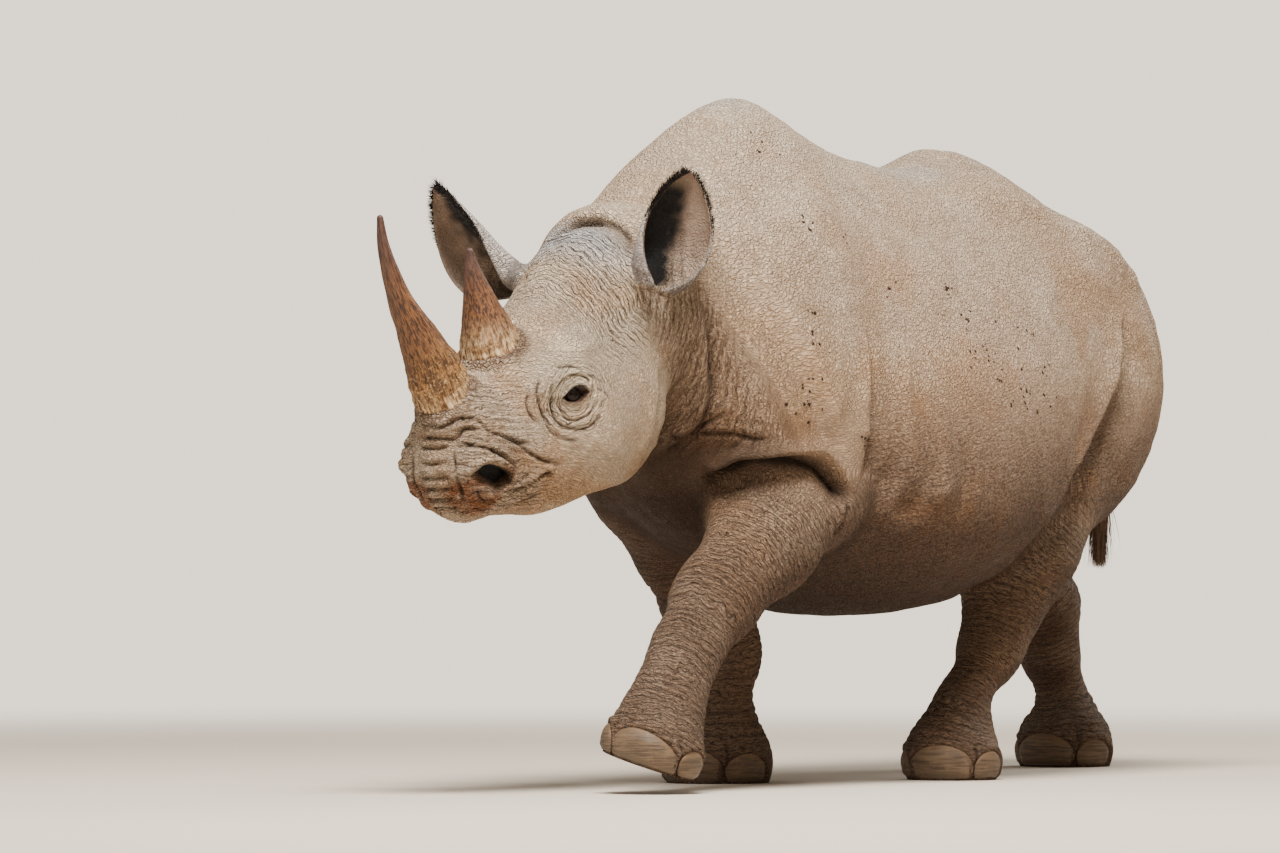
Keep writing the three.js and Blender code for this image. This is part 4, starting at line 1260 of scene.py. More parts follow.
def hide_material():
    """Dry hide: a mosaic of small plates between fine wrinkles, with painted shade in their gaps and lines,
    dusted pale above with a painted highlight, browner with painted shade below.
    """
    m = Material("hide", 0.72, 0.3)
    tone = palette(HIDE_COLOURS)
    lie = m.vector("lie")
    spot = m.add("TexCoord", {}, "Object")
    mask = {name: m.number(name) for name in MASKS}
    drift = m.add("TexNoise", {"Vector": lie, "Scale": 0.5, "Detail": 1.0}, 1)
    bent = m.add("VectorMath", {0: lie, 1: m.scaled(drift, (0.9, 0.9, 0.9))}, operation="ADD")
    filled = m.product(mask["rings"], 0.6)
    plates = m.math("MAXIMUM", m.ramp(m.cells(bent, 0.95), 0.0, 0.24), filled)
    small_plates = m.math("MAXIMUM", m.ramp(m.cells(bent, 1.8), 0.0, 0.3), filled)
    wrinkle = m.noise(bent, 1.0, 3.0, 0.65)
    cuts = m.ramp(m.math("ABSOLUTE", m.about_zero(m.noise(bent, 0.6))), 0.0, 0.03)
    grain = m.noise(spot, 420.0, 2.0)
    blotch = m.noise(spot, 9.0, 4.0, 0.6)
    worn = m.noise(spot, 34.0, 3.0, 0.6)
    rings = ring_lines(m, spot, mask["rings"])
    plain = m.rest(m.product(m.math("MAXIMUM", mask["inside"], mask["wall"]), 0.85))

    relief = m.total(plates, m.product(small_plates, 0.5), m.product(wrinkle, 1.7), m.product(grain, 0.15),
                     m.product(cuts, 0.6))
    height = m.product(relief, m.total(m.product(mask["rough"], 0.8), 0.75), plain)
    height = m.math("SUBTRACT", height, m.product(rings, 2.0))

    # painted shade in the gaps between plates and in the valleys of the wrinkles
    deep = m.rest(m.product(plates, m.ramp(wrinkle, 0.4, 0.58, 0.2, 1.0)))
    deep = m.math("MAXIMUM", deep, m.product(m.rest(m.product(cuts, small_plates)), 0.55))
    specks = m.ramp(m.noise(spot, 260.0, 1.0), 0.62, 0.74, 0.0, 0.25)
    tone["wall"] = m.mix(m.ramp(blotch, 0.35, 0.65), tone["wall"], tone["wall_lit"])
    tone["lid"] = m.mix(m.ramp(worn, 0.4, 0.6), tone["lid"], tone["lid_lit"])
    colour = m.layers(m.mix(m.ramp(blotch, 0.35, 0.7), tone["dust"], tone["pale_dust"]), tone, (
        ("ochre", m.product(mask["ochre"], m.ramp(blotch, 0.3, 0.6, 0.55, 1.0))),
        # browner tone with painted shade, low down and underneath
        ("brown_and_shade", m.product(mask["brown_and_shade"], 0.95)),
        # pale dust and face, with a painted highlight on the brow and top
        ("pale", m.product(mask["pale"], 0.85)),
        ("grey", m.product(mask["grey"], 0.85)),
        # darker brown inside the ear cups, painted shade
        ("wall", m.product(mask["wall"], 0.9)),
        ("stain", m.product(mask["stain"], m.ramp(worn, 0.3, 0.6, 0.6, 0.95))),
        # painted shade in the gaps between plates
        ("crevice_shade", m.product(deep, m.total(m.product(mask["rough"], 0.4), 0.5), plain), "MULTIPLY"),
        # painted shade in the fine wrinkle lines
        ("ring", m.product(rings, 0.85), "MULTIPLY"),
        ("worn", m.ramp(worn, 0.45, 0.75, 0.0, 0.25)),
        ("grain", m.product(m.ramp(grain, 0.5, 0.7, 0.0, 0.18), plain)),
        ("speck", m.product(specks, plain)),
        ("shade", m.product(mask["shade"], 0.93), "MULTIPLY"),
        # painted shade in creases
        ("crease_shade", m.product(mask["crease_shade"], 0.86)),
        # painted shade, near black, inside nostrils and ear cups
        ("inside", mask["inside"]),
        # dark lids, with painted shade in the sunk opening
        ("lid", m.product(mask["lid"], 0.92)),
    ))
    return m.finish(colour, height, 0.0065, 1.0, m.ramp(worn, 0.3, 0.7, 0.64, 0.84))


HORN_COLOURS = {
    "root": (70, 44, 25), "root_lit": (170, 120, 66), "patch": (74, 47, 28), "middle": (56, 34, 21),
    "middle_lit": (132, 86, 50), "tip": (56, 37, 31), "tip_lit": (92, 63, 52), "fibre": (62, 42, 30),
    "ring": (78, 50, 32), "speck": (226, 186, 130), "cream": (206, 150, 92), "cream_lit": (246, 220, 176),
}
HORN_STREAKS = (("root", 0.4, 0.58), ("middle", 0.4, 0.58), ("tip", 0.36, 0.62), ("cream", 0.36, 0.6))


def horn_material():
    """Keratin: ochre frayed fibres at the base, darker and smoother towards the tip."""
    m = Material("horn", 0.5, 0.45)
    tone = palette(HORN_COLOURS)
    fibre = m.vector("fibre")
    rise = m.number("rise")
    spot = m.add("TexCoord", {}, "Object")
    streak = m.noise(fibre, 1.0, 4.0, 0.65)
    fine = m.noise(m.scaled(fibre, (3.2, 3.2, 2.0)), 1.0, 3.0, 0.6)
    rings = m.noise(m.scaled(fibre, (0.12, 0.12, 7.0)), 1.0, 3.0, 0.6)
    tufts = m.noise(m.scaled(fibre, (0.55, 0.55, 1.6)), 1.0, 4.0, 0.65)
    speck = m.noise(spot, 160.0, 3.0, 0.6)
    patch = m.noise(spot, 22.0, 3.0, 0.6)
    for name, start, end in HORN_STREAKS:
        tone[name] = m.mix(m.ramp(streak, start, end), tone[name], tone[name + "_lit"])
    colour = m.layers(tone["root"], tone, (
        ("patch", m.ramp(patch, 0.42, 0.58, 0.0, 0.8)),
        ("middle", m.ramp(rise, 0.12, 0.45)),
        ("tip", m.ramp(rise, 0.5, 0.95)),
        ("fibre", m.product(m.ramp(fine, 0.5, 0.66), m.ramp(rise, 0.0, 0.7, 0.85, 0.4))),
        ("ring", m.product(m.ramp(rings, 0.54, 0.66), m.ramp(rise, 0.0, 0.6, 0.6, 0.1))),
        ("speck", m.product(m.ramp(speck, 0.52, 0.66), m.ramp(rise, 0.4, 0.05), 0.7)),
        ("cream", m.product(m.ramp(tufts, 0.38, 0.6), m.number("cream"), 0.75)),
    ))
    height = m.total(m.product(streak, 0.9), m.product(fine, 0.7), m.product(rings, 0.5))
    return m.finish(colour, m.product(height, m.ramp(rise, 0.0, 0.7, 1.0, 0.3)), 0.004, 0.9,
                    m.ramp(rise, 0.0, 0.8, 0.74, 0.5))


NAIL_COLOURS = {"dark": (74, 59, 46), "light": (110, 90, 69), "cuticle": (118, 92, 68),
                "worn": (92, 76, 60), "blotch": (126, 102, 80)}
EYE_COLOURS = {"iris": (20, 12, 9), "iris_lit": (36, 22, 15), "ring": (16, 9, 7), "white": (78, 48, 38),
               "pupil": (6, 4, 4)}


def nail_material():
    """Grey horn with level growth lines and a yellowish band under the cuticle."""
    m = Material("nail", 0.55, 0.4)
    tone = palette(NAIL_COLOURS)
    spot = m.add("TexCoord", {}, "Object")
    lines = m.noise(m.scaled(spot, (16.0, 16.0, 230.0)), 1.0, 3.0, 0.6)
    blotch = m.noise(spot, 38.0, 3.0, 0.6)
    edge = m.total(m.number("rise"), m.about_zero(blotch, 0.35))
    colour = m.layers(m.mix(m.ramp(lines, 0.35, 0.65), tone["dark"], tone["light"]), tone, (
        ("cuticle", m.ramp(edge, 0.74, 1.05)),
        ("worn", m.ramp(edge, 0.3, 0.05)),
        ("blotch", m.ramp(blotch, 0.52, 0.72, 0.0, 0.5)),
    ))
    return m.finish(colour, lines, 0.0022, 0.7, m.ramp(blotch, 0.3, 0.7, 0.5, 0.72))


def eye_material():
    """Dark brown iris round a level oval pupil, with a reddish brown white."""
    m = Material("eye", 0.22, 0.1)
    tone = palette(EYE_COLOURS)
    out = m.number("out")
    rays = m.noise(m.scaled(m.vector("around"), (9.0, 9.0, 1.5)), 1.0, 3.0, 0.6)
    colour = m.layers(m.mix(m.ramp(rays, 0.35, 0.65), tone["iris"], tone["iris_lit"]), tone, (
        ("ring", m.ramp(out, 0.44, 0.5)),
        ("white", m.ramp(out, 0.52, 0.66)),
        ("pupil", m.ramp(m.number("pupil"), 1.05, 0.9)),
    ))
    m.shader.inputs["Coat Weight"].default_value = 0.12
    m.shader.inputs["Coat Roughness"].default_value = 0.04
    return m.finish(colour)


def hair_material(name, dark, light):
    m = Material(name, 0.55, 0.35)
    return m.finish(m.mix(m.ramp(m.number("strand"), 0.0, 1.0), dark, light))


def scab_material():
    m = Material("scab", 0.8, 0.2)
    crust = m.noise(m.add("TexCoord", {}, "Object"), 400.0, 3.0)
    colour = m.mix(m.ramp(crust, 0.35, 0.65), rgb(30, 20, 17), rgb(66, 46, 38))
    return m.finish(colour, crust, 0.001, 0.6)


hide_skin.data.materials.append(hide_material())


# ---- eyes ------------------------------------------------------------------------------------------
EYE_SINK = 3.0
EYE_ROUND = 25.0
EYE_SIDES = 64
EYE_RINGS = 40
EYE_LOOK = (0.26, 0.96, -0.05)      # along, aside, crown
EYE_TILT = 24.7
PUPIL = (6.5, 4.6)      # half its width and height
CORNEA = 1.6


def build_eye(name, side, material):
    """A ball with a bulging cornea; its pole looks out of the opening."""
    look = unit(HEAD_AXES.T @ (np.array(EYE_LOOK) * (1, side, 1)))
    tilt = cos_sin(EYE_TILT)
    level = ALONG * tilt[0] + CROWN * tilt[1]
    level = unit(level - look * (level @ look))
    out = np.linspace(0.004, 1, EYE_RINGS)
    lift = EYE_ROUND + CORNEA * soft(out, 0.3, 0.12)
    ring = lift * np.sin(out * math.pi)
    ring[-1] = 0.05
    rise = np.repeat(lift * np.cos(out * math.pi), EYE_SIDES)
    spin = np.tile(np.linspace(0, 2 * math.pi, EYE_SIDES, endpoint=False), EYE_RINGS)
    c, s, ring, turns = np.cos(spin), np.sin(spin), np.repeat(ring, EYE_SIDES), np.repeat(out, EYE_SIDES)
    ball = np.outer(rise, look) + np.outer(ring * c, level) + np.outer(ring * s, np.cross(look, level))
    centre = in_head(EYE["along"], side * (EYE["aside"] - EYE_SINK), EYE["crown"])
    faces = grid_faces(EYE_RINGS, EYE_SIDES, True)
    eye = mesh_object(name, world(centre + ball), outward(ball, faces))
    give_values(eye, "out", turns * 2)
    give_values(eye, "around", np.column_stack([c, s, turns * 4]))
    give_values(eye, "pupil", np.where(turns < 0.5, np.hypot(ring * c / PUPIL[0], ring * s / PUPIL[1]), 9))
    eye.data.materials.append(material)
    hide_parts(name)


# ---- horns -----------------------------------------------------------------------------------------
HORNS = {
    "horn_front": [(612, 118, 64), (612, 190, 61), (614, 256, 50), (620, 318, 38), (625, 380, 28),
                   (621, 446, 20), (609, 514, 13), (588, 567, 7)],
    "horn_rear": [(430, 108, 70), (422, 145, 67), (410, 195, 54), (398, 252, 36), (386, 310, 20),
                  (371, 355, 8)],
}
CREAM = {"horn_front": (0.17, 0.0), "horn_rear": (0.5, 0.05)}      # how far up the pale frayed base goes
HORN_SIDES = 112
HORN_STEP = 2.8
HORN_TIP_RINGS = 7
FIBRE_SIZE = (4.0, 4.0, 60.0)       # across, across and along the horn


def horn_line(stations):
    """Middle line in the head's plane, its way, its radii, each ring's place along it and its length."""
    s = np.array(stations, float)
    place = np.concatenate([[0], np.cumsum(np.hypot(np.diff(s[:, 0]), np.diff(s[:, 1])))])
    where = np.linspace(0, place[-1], int(place[-1] / HORN_STEP))
    along, crown, radius = between(np.column_stack([place, s]), where)
    line = np.column_stack([along, crown])
    way = unit(np.gradient(line, where, axis=0))
    tip, last = np.linspace(0, 0.985, HORN_TIP_RINGS + 1)[1:], radius[-1]
    line = np.concatenate([line, line[-1] + np.outer(last * tip, way[-1])])
    way = np.concatenate([way, np.tile(way[-1], (len(tip), 1))])
    radius = np.concatenate([radius, last * np.sqrt(1 - tip ** 2)])
    return line, way, radius, np.concatenate([where, place[-1] + last * tip]), place[-1]


def build_horn(name, stations, material):
    """A bent cone, frayed and lumpy at its foot and smoother towards its tip."""
    line, way, radius, where, tall = horn_line(stations)
    spin = np.linspace(0, 2 * math.pi, HORN_SIDES, endpoint=False)
    h, a = (g.ravel() for g in np.meshgrid(where, spin, indexing="ij"))
    r = np.repeat(radius, HORN_SIDES)
    round_place = np.column_stack([np.cos(a) * r, np.sin(a) * r, h])
    fibres = (noise(round_place / (5.0, 5.0, 46.0), 1.0, 21)
              + 0.6 * noise(round_place / (2.6, 2.6, 30.0), 1.0, 22))
    growth = noise(round_place / (60.0, 60.0, 9.0), 1.0, 23)
    lumps = noise(round_place / (26.0, 26.0, 40.0), 1.0, 24)
    base, foot = soft(h, 0.62 * tall, 0.12 * tall), soft(h, 0.28 * tall, 0.1 * tall)
    r += (base * (1.8 * fibres + 1.6 * growth + 2.4 * lumps) + foot * (2.6 * fibres + 2.0 * growth)
          + (1 - base) * (0.7 * lumps + 0.4 * fibres) * soft(h, tall, 0.8 * tall))
    plane = HEAD_AXES[[0, 2]]
    spine = np.repeat(HEAD_AT + line @ plane, HORN_SIDES, 0)
    ahead = np.repeat(way[:, ::-1] * (1, -1) @ plane, HORN_SIDES, 0)
    p = spine + (r * np.cos(a))[:, None] * ahead + np.outer(r * np.sin(a), ASIDE)
    p = np.concatenate([p, [in_head(line[0, 0], 0, line[0, 1]), p[-HORN_SIDES:].mean(0)]])
    rim = np.arange(HORN_SIDES)
    after, end = np.roll(rim, -1), len(h)
    low_cap = np.stack([rim, np.full_like(rim, end), after], 1)
    high_cap = np.stack([rim + end - HORN_SIDES, after + end - HORN_SIDES, np.full_like(rim, end + 1)], 1)
    triangles = np.concatenate([halves(grid_faces(len(where), HORN_SIDES, True)), low_cap, high_cap])
    horn = mesh_object(name, world(p), outward(p, triangles))
    rise = np.concatenate([h / tall, [0, 1]])
    fibre = np.concatenate([round_place / FIBRE_SIZE, [[0, 0, 0], [0, 0, tall / FIBRE_SIZE[2]]]])
    give_values(horn, "rise", rise)
    give_values(horn, "cream", soft(rise, *CREAM[name]))
    give_values(horn, "fibre", fibre)
    horn.data.materials.append(material)
    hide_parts(name)


# ---- nails -----------------------------------------------------------------------------------------
NAIL_WIDE = 34
NAIL_HIGH = 26
NAIL_ROOT = -7.0


def nail_points(leg, swing, half, top):
    """Front and back grids of one nail, found by rays from the foot's axis out to its wall."""
    shape = LEGS[leg]
    forward, left, up, radius = shape["joints"][-1]
    side = np.sign(left)
    across, up_nail = np.linspace(-1, 1, NAIL_WIDE), np.linspace(0, 1, NAIL_HIGH)
    u, v = (g.ravel() for g in np.meshgrid(across, up_nail, indexing="ij"))
    swing_up = (top - NAIL_BELLY) * np.sqrt(1.02 - u * u)
    foot = np.maximum(NAIL_FOOT, NAIL_BELLY - swing_up)
    arch = NAIL_BELLY + swing_up - foot
    height = shape["lift"] + foot + v * arch
    angle = side * np.radians(shape["turn"] + swing + u * half)
    rise = shape["slope"][0] * np.cos(angle) + shape["slope"][1] * np.sin(angle)
    way = np.column_stack([np.sin(angle), -np.cos(angle), rise])
    axis = np.column_stack([np.full(len(u), left), np.full(len(u), -forward), height])
    near, far = np.full(len(u), 10.0), np.full(len(u), 260.0)
    for _ in range(16):
        middle = (near + far) / 2
        inside = legs[leg][0](axis + middle[:, None] * way) < 0
        near = np.where(inside, middle, near)
        far = np.where(inside, far, middle)
    edge = np.minimum((1 - np.abs(u)) * math.radians(half) * radius, (1 - v) * arch)
    ridges = 0.5 * noise(np.column_stack([u * 2, u * 0, height / 5.0]), 1.0, 31)
    bulge = np.sqrt(np.clip(edge / 22, 0, 1))
    proud = NAIL_PROUD * 1.25 * bulge - 1.5 + 0.5 * ridges - 4.0 * soft(v, 0.16, 0.0)
    front = axis + (near + proud)[:, None] * way
    back = axis + (near + NAIL_ROOT)[:, None] * way
    return front, back, v


def build_nails(material):
    """Twelve closed plates as one mesh: front and back grids, joined round their rims."""
    count = NAIL_WIDE * NAIL_HIGH
    grid = np.arange(count).reshape(NAIL_WIDE, NAIL_HIGH)
    loop = np.concatenate([grid[:, 0], grid[-1, 1:], grid[-2::-1, -1], grid[0, -2:0:-1]])
    after = np.roll(loop, -1)
    rim = np.stack([after, loop, loop + count, after + count], 1)
    front_faces = grid_faces(NAIL_WIDE, NAIL_HIGH, False)
    triangles = halves(np.concatenate([front_faces, front_faces[:, ::-1] + count, rim]))
    points, faces, rise, names = [], [], [], []
    for leg in LEGS:
        for (swing, half, top), each in zip(NAILS, ("middle", "outer", "inner")):
            front, back, v = nail_points(leg, swing, half, top)
            p = np.concatenate([front, back])
            faces.append(outward(p - p.mean(0), triangles) + len(points) * 2 * count)
            points.append(p)
            rise.append(np.tile(v, 2))
            names.append(f"{leg.replace('leg', 'nail')}_{each}")
    nails = mesh_object("nails", world(np.concatenate(points)), np.concatenate(faces))
    give_values(nails, "rise", np.concatenate(rise))
    nails.data.materials.append(material)
    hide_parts(*names)


# ---- hair ------------------------------------------------------------------------------------------
random = np.random.default_rng(5)
STRAND_SIDES = 3
PATCH = 0.0015


def build_hair(name, roots, ways, lengths, width, places, bend, material, steps):
    """Tapered strands as one mesh. Each bends along its own vector and has a bake patch where it grows."""
    count = len(roots)
    t = np.linspace(0, 1, steps + 1)
    side = unit(np.cross(ways, random.normal(size=(count, 3))))
    other = np.cross(ways, side)
    course = t[:, None] * ways[:, None] + (t ** 2)[:, None] * bend[:, None]
    spine = roots[:, None] + lengths[:, None, None] * course
    spin = np.arange(STRAND_SIDES) * 2 * math.pi / STRAND_SIDES
    ring = np.cos(spin)[:, None] * side[:, None] + np.sin(spin)[:, None] * other[:, None]
    taper = width * (1 - 0.93 * t ** 1.5) / 2
    p = spine[:, :, None] + taper[:, None, None] * ring[:, None]
    rows = (steps + 1) * STRAND_SIDES
    quads = grid_faces(steps + 1, STRAND_SIDES, True)
    one = np.concatenate([halves(quads), [[2, 1, 0]], [[rows - 3, rows - 2, rows - 1]]])
    faces = repeated(one, count, rows)
    hair = mesh_object(name, world(p.reshape(-1, 3)), faces)
    give_values(hair, "strand", np.repeat(random.random(count), rows))
    shrink = 1 - 0.5 * t[:, None]
    patch = np.stack([np.cos(spin) * shrink, np.sin(spin) * shrink], -1)
    uv = places[:, None] + PATCH * patch.reshape(-1, 2)[None]
    layer = hair.data.uv_layers.new(name="OFBake")
    layer.data.foreach_set("uv", uv.reshape(-1, 2)[faces.ravel()].astype(np.float32).ravel())
    hair.data.materials.append(material)
    return hair


FRINGES = {"ear_left": [(1, 0.5, 1.0, 900, 17), (-1, 0.45, 1.0, 420, 11)],
           "ear_right": [(-1, 0.42, 1.0, 1000, 20), (1, 0.6, 1.0, 260, 12)]}


def build_fringe(name, material):
    """Hairs along the ear's rim. Each run gives its rim, where it starts and ends, its number and length."""
    ear = ears[name]
    roots, ways, lengths, places = [], [], [], []
    for rim, start, stop, count, length in FRINGES[name]:
        h = start + (stop - start) * random.random(count) ** 0.8
        wrap = np.radians(between(EAR_SECTIONS, h)[2]) * rim
        angle = wrap * (1 - 0.05 * random.random(count))
        root = ear.place(h, angle, random.uniform(-3, 3, count))
        out = unit(root - ear.place(h, angle * 0.9))
        roots.append(root)
        ways.append(unit(0.75 * ear.up + 0.75 * out + random.normal(0, 0.22, (count, 3))))
        full = soft(h, start, start + 0.2) * 0.7 + 0.3
        lengths.append(length * full * random.uniform(0.55, 1.15, count))
        places.append(np.column_stack([0.5 + 0.4 * angle / math.pi, 0.05 + 0.9 * h]))
    roots, ways = np.concatenate(roots), np.concatenate(ways)
    lengths, places = np.concatenate(lengths), np.concatenate(places)
    bend = np.tile(0.25 * ear.up, (len(roots), 1)) + random.normal(0, 0.1, (len(roots), 3))
    build_hair(f"{name}_fringe", roots, ways, lengths, 1.7, places, bend, material, 4)


LASHES = 34
TUFT_HAIRS = 700
TUFT_ROOTS = (535, 735)     # heights that the hairs grow from
TUFT_LOWEST = 488


def build_tail_tuft(material):
    """Coarse hairs round the tail's end, none below the CAD's tuft."""
    start_z = random.uniform(*TUFT_ROOTS, TUFT_HAIRS)
    spin = random.uniform(0, 2 * math.pi, TUFT_HAIRS)
    forward, left, up, radius = between([(-z, f, l, z, r) for f, l, z, r in TAIL], -start_z)
    inner = np.where(start_z < TAIL[-1][2], 8.0, radius - 1.5)
    out = np.column_stack([np.cos(spin), np.sin(spin), np.zeros(TUFT_HAIRS)])
    roots = np.column_stack([left, -forward, start_z]) + inner[:, None] * out
    ways = unit(0.16 * out + np.array([0, 0.0, -1.0]) + random.normal(0, 0.05, (TUFT_HAIRS, 3)))
    lengths = np.minimum((start_z - TUFT_LOWEST) * 0.98, random.uniform(60, 190, TUFT_HAIRS))
    bend = -0.12 * out + random.normal(0, 0.04, (TUFT_HAIRS, 3))
    places = np.column_stack([0.05 + 0.9 * spin / (2 * math.pi), 0.05 + 0.9 * (start_z - 500) / 250])
    tuft = build_hair("tail_tuft_hair", roots, ways, lengths, 2.6, places, bend, material, 6)
    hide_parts("tail_tuft")


def build_lashes(side, material):
    """Lashes on the upper lid's edge, longest over the middle of the eye."""
    form = EYE_OPENING
    u = np.linspace(-0.86, 0.9, LASHES)
    v = form["above"] * (1 - u * u) + 2.5
    u = u * form["half"]
    c, s = cos_sin(form["tilt"])
    along, crown = form["along"] + u * c - v * s, form["crown"] + v * c + u * s
    head = (shape - HEAD_AT) @ HEAD_AXES.T
    gap = np.hypot(head[:, 0] - form["along"], head[:, 2] - form["crown"])
    near = np.flatnonzero((head[:, 1] * side > 120) & (gap < 60))
    picked = [near[np.argmin(np.hypot(head[near, 0] - a, head[near, 2] - b))] for a, b in zip(along, crown)]
    roots = shape[picked] - side * 1.0 * ASIDE
    count = len(roots)
    ways = unit(side * ASIDE + np.outer(u / 60, ALONG) - 0.25 * CROWN + random.normal(0, 0.1, (count, 3)))
    bend = np.tile(-0.35 * CROWN, (count, 1)) + random.normal(0, 0.08, (count, 3))
    lengths = 15 * (1 - 0.35 * (u / 33) ** 2) * random.uniform(0.75, 1.1, count)
    places = np.column_stack([0.5 + side * 0.2 + u / 400, np.full(count, 0.5)])
    name = "lashes_left" if side > 0 else "lashes_right"
    build_hair(name, roots, ways, lengths, 0.9, places, bend, material, 4)


# ---- dried scabs on the flanks ---------------------------------------------------------------------
SCABS = [(155, 289, 1256, 5, 14), (209, 332, 1053, 4, 10), (214, 336, 990, 5, 18), (216, 336, 865, 14, 26),
         (41, 360, 766, 4, 16), (-152, 318, 1119, 4, 12), (-387, 329, 1125, 9, 12), (-416, 362, 1057, 8, 14),
         (-453, 391, 988, 4, 14), (-679, 371, 1046, 2, 10), (-390, 401, 953, 3, 16), (-481, 414, 920, 4, 26),
         (-706, 404, 947, 4, 12), (-556, 423, 887, 4, 20), (-603, 428, 865, 4, 16), (-694, 424, 866, 3, 22),
         (117, 131, 1451, 5, 30), (5, 294, 1236, 3, 16), (-430, 400, 960, 5, 60), (-560, 380, 1030, 5, 90)]
SCAB_SIDES = 9
SCAB_SIZE = (1.8, 4.6)
SCAB_LOWEST = 600
SCAB_PROFILE = ((1.15, -1.5), (1.0, 0.5), (0.7, 1.3), (0.12, 1.8))      # share of the size, height


def scab_points(spot, ground):
    """Rings of one small ragged crust, on the point of the ground that is nearest to the spot."""
    size = random.uniform(*SCAB_SIZE)
    i = ground[np.argmin(((shape[ground] - spot) ** 2).sum(1))]
    across = unit(np.cross(skin.n[i], random.normal(size=3)))
    out = size * (1 + 0.3 * random.normal(size=SCAB_SIDES))
    spin = np.linspace(0, 2 * math.pi, SCAB_SIDES, endpoint=False)
    ring = np.outer(out * np.cos(spin), across) + np.outer(out * np.sin(spin), np.cross(skin.n[i], across))
    return np.concatenate([shape[i] + rise * skin.n[i] + share * ring for share, rise in SCAB_PROFILE])


def build_scabs(material):
    """Small crusts in loose clusters: forward, left, up, number and spread. The far side has half as many."""
    ground = np.flatnonzero(shape[:, 2] > SCAB_LOWEST)
    crusts = []
    for forward, left, up, count, spread in SCABS:
        for side, number in ((1, count), (-1, max(1, count // 2))):
            for _ in range(number):
                spot = at(forward, left * side, up) + random.normal(0, spread, 3)
                crusts.append(scab_points(spot, ground))
    foot = np.array([[0, k + 1, k] for k in range(1, SCAB_SIDES - 1)])
    lid = foot[:, [0, 2, 1]] + len(crusts[0]) - SCAB_SIDES
    one = np.concatenate([halves(grid_faces(len(SCAB_PROFILE), SCAB_SIDES, True)), lid, foot])
    faces = repeated(one, len(crusts), len(crusts[0]))
    scabs = mesh_object("scabs", world(np.concatenate(crusts)), faces)
    scabs.data.materials.append(material)


# ---- the pieces ------------------------------------------------------------------------------------
eye_look = eye_material()
for name, side in (("eye_left", 1), ("eye_right", -1)):
    build_eye(name, side, eye_look)
horn_look = horn_material()
for name, stations in HORNS.items():
    build_horn(name, stations, horn_look)
build_nails(nail_material())
hair_look = hair_material("hair", rgb(16, 12, 11), rgb(40, 30, 25))
for name in ears:
    build_fringe(name, hair_look)
build_tail_tuft(hair_material("tail_hair", rgb(84, 66, 54), rgb(136, 110, 88)))
for side in (1, -1):
    build_lashes(side, hair_look)
build_scabs(scab_material())

# ---- camera, floor and light -----------------------------------------------------------------------
VIEW_TURN = math.radians(32)
VIEW_BACK = 18.0
VIEW_HIGH = 0.55
FOCAL = 7956.0                      # in pixels of a picture 1280 wide
CENTRE_X, HORIZON_Y = 735.0, 541.9  # where the withers' line and the horizon sit in that picture
WIDE, TALL = 1280, 853
SENSOR = 36
towards = Vector((math.sin(VIEW_TURN), -math.cos(VIEW_TURN), 0))
right = Vector((math.cos(VIEW_TURN), math.sin(VIEW_TURN), 0))
place = towards * VIEW_BACK + Vector((0, 0, VIEW_HIGH)) + Vector(ORIGIN)
aim = -towards * FOCAL + right * (WIDE / 2 - CENTRE_X) + Vector((0, 0, 1)) * (HORIZON_Y - TALL / 2)
camera = bpy.data.objects.new("camera", bpy.data.cameras.new("camera"))
bpy.context.scene.collection.objects.link(camera)
camera.location = place
camera.rotation_euler = aim.to_track_quat("-Z", "Y").to_euler()
camera.data.sensor_width = SENSOR
camera.data.lens = SENSOR * aim.length / WIDE
camera.data.clip_end = 200
bpy.context.scene.camera = camera

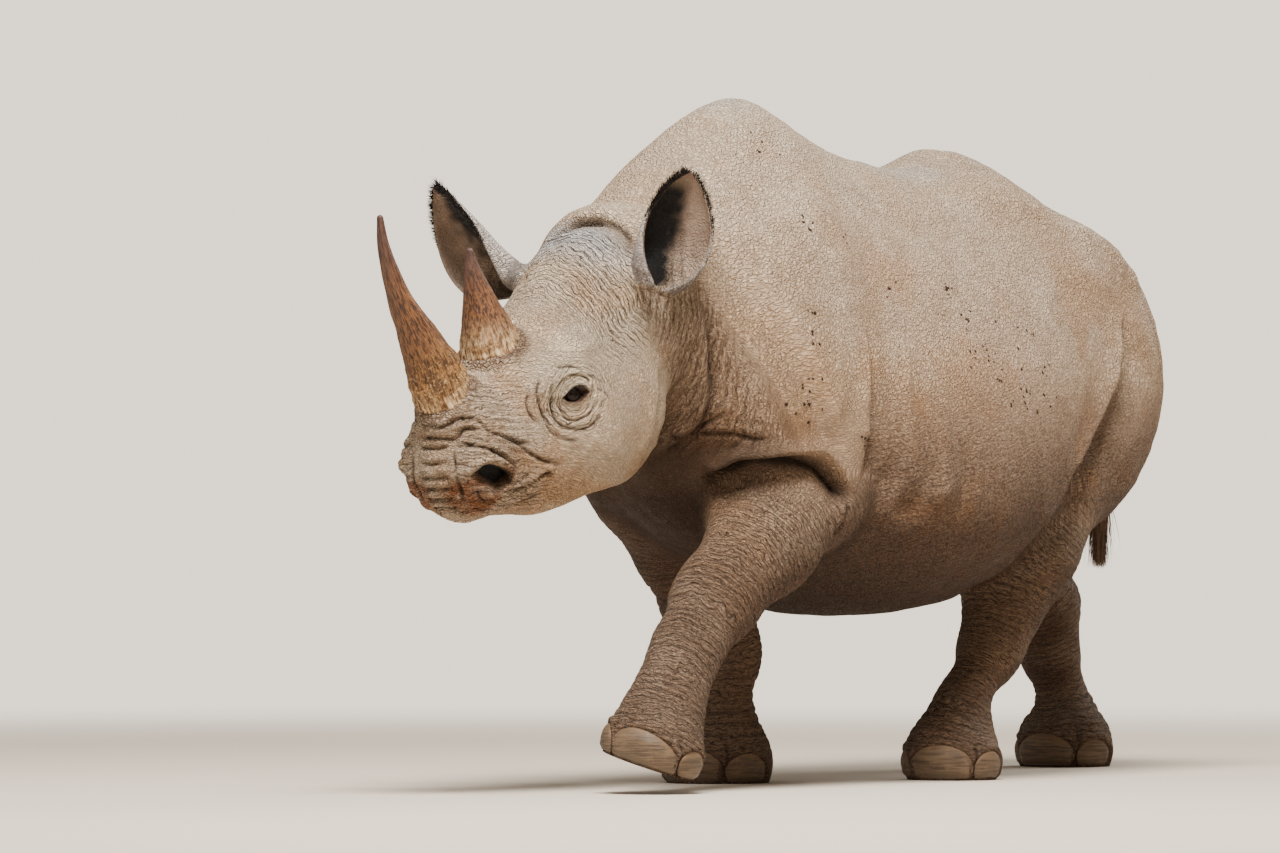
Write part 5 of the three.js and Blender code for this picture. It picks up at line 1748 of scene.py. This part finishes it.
FLOOR_HALF = 30
floor = mesh_object("floor", [(x, y, 0) for x, y in ((-FLOOR_HALF, -FLOOR_HALF), (FLOOR_HALF, -FLOOR_HALF),
                                                     (FLOOR_HALF, FLOOR_HALF), (-FLOOR_HALF, FLOOR_HALF))],
                    [(0, 1, 2, 3)], None, smooth=False)
FLOOR_FADE = (3.4, 9.0)            # the floor fades into the pale background between these distances
floor_look = Material("floor", 0.9, 0.2)
floor_look.shader.inputs["Base Color"].default_value = rgb(228, 216, 200)
spot = floor_look.add("TexCoord", {}, "Object")
fade = floor_look.ramp(floor_look.add("VectorMath", {0: spot}, "Value", operation="LENGTH"), *FLOOR_FADE)
clear = floor_look.add("BsdfTransparent", {})
blend_out = floor_look.add("MixShader", {0: fade, 1: floor_look.shader.outputs[0], 2: clear})
floor_look.tree.links.new(blend_out, floor_look.tree.nodes["Material Output"].inputs["Surface"])
floor.data.materials.append(floor_look.data)

LAMPS = {       # place, watts, size and colour
    "key": ((2.0, -3.5, 6.5), 1180, 2.8, (1, 0.96, 0.9)),
    "fill": ((-7, -6, 3), 80, 6, (0.9, 0.95, 1)),
    "back": ((1, 8, 6), 420, 4, (1, 0.97, 0.92)),
}
LAMP_AIM = Vector((0, 0, 0.8))
for name, (where, power, size, colour) in LAMPS.items():
    light = bpy.data.lights.new(name, "AREA")
    light.energy, light.size, light.color = power, size, colour
    lamp = bpy.data.objects.new(name, light)
    bpy.context.scene.collection.objects.link(lamp)
    lamp.location = where
    lamp.rotation_euler = (LAMP_AIM - Vector(where)).to_track_quat("-Z", "Y").to_euler()

SKY_LIGHT = 0.34        # how strongly the sky lights the animal
SKY_SEEN = 2.1          # how bright the plain backdrop looks
sky = bpy.data.worlds.new("sky")
sky.use_nodes = True
shown = sky.node_tree.nodes["Background"]
shown.inputs["Color"].default_value = rgb(240, 229, 212)
seen = sky.node_tree.nodes.new("ShaderNodeLightPath").outputs["Is Camera Ray"]
strength = sky.node_tree.nodes.new("ShaderNodeMapRange")
strength.inputs["To Min"].default_value = SKY_LIGHT
strength.inputs["To Max"].default_value = SKY_SEEN
sky.node_tree.links.new(seen, strength.inputs["Value"])
sky.node_tree.links.new(strength.outputs["Result"], shown.inputs["Strength"])
bpy.context.scene.world = sky
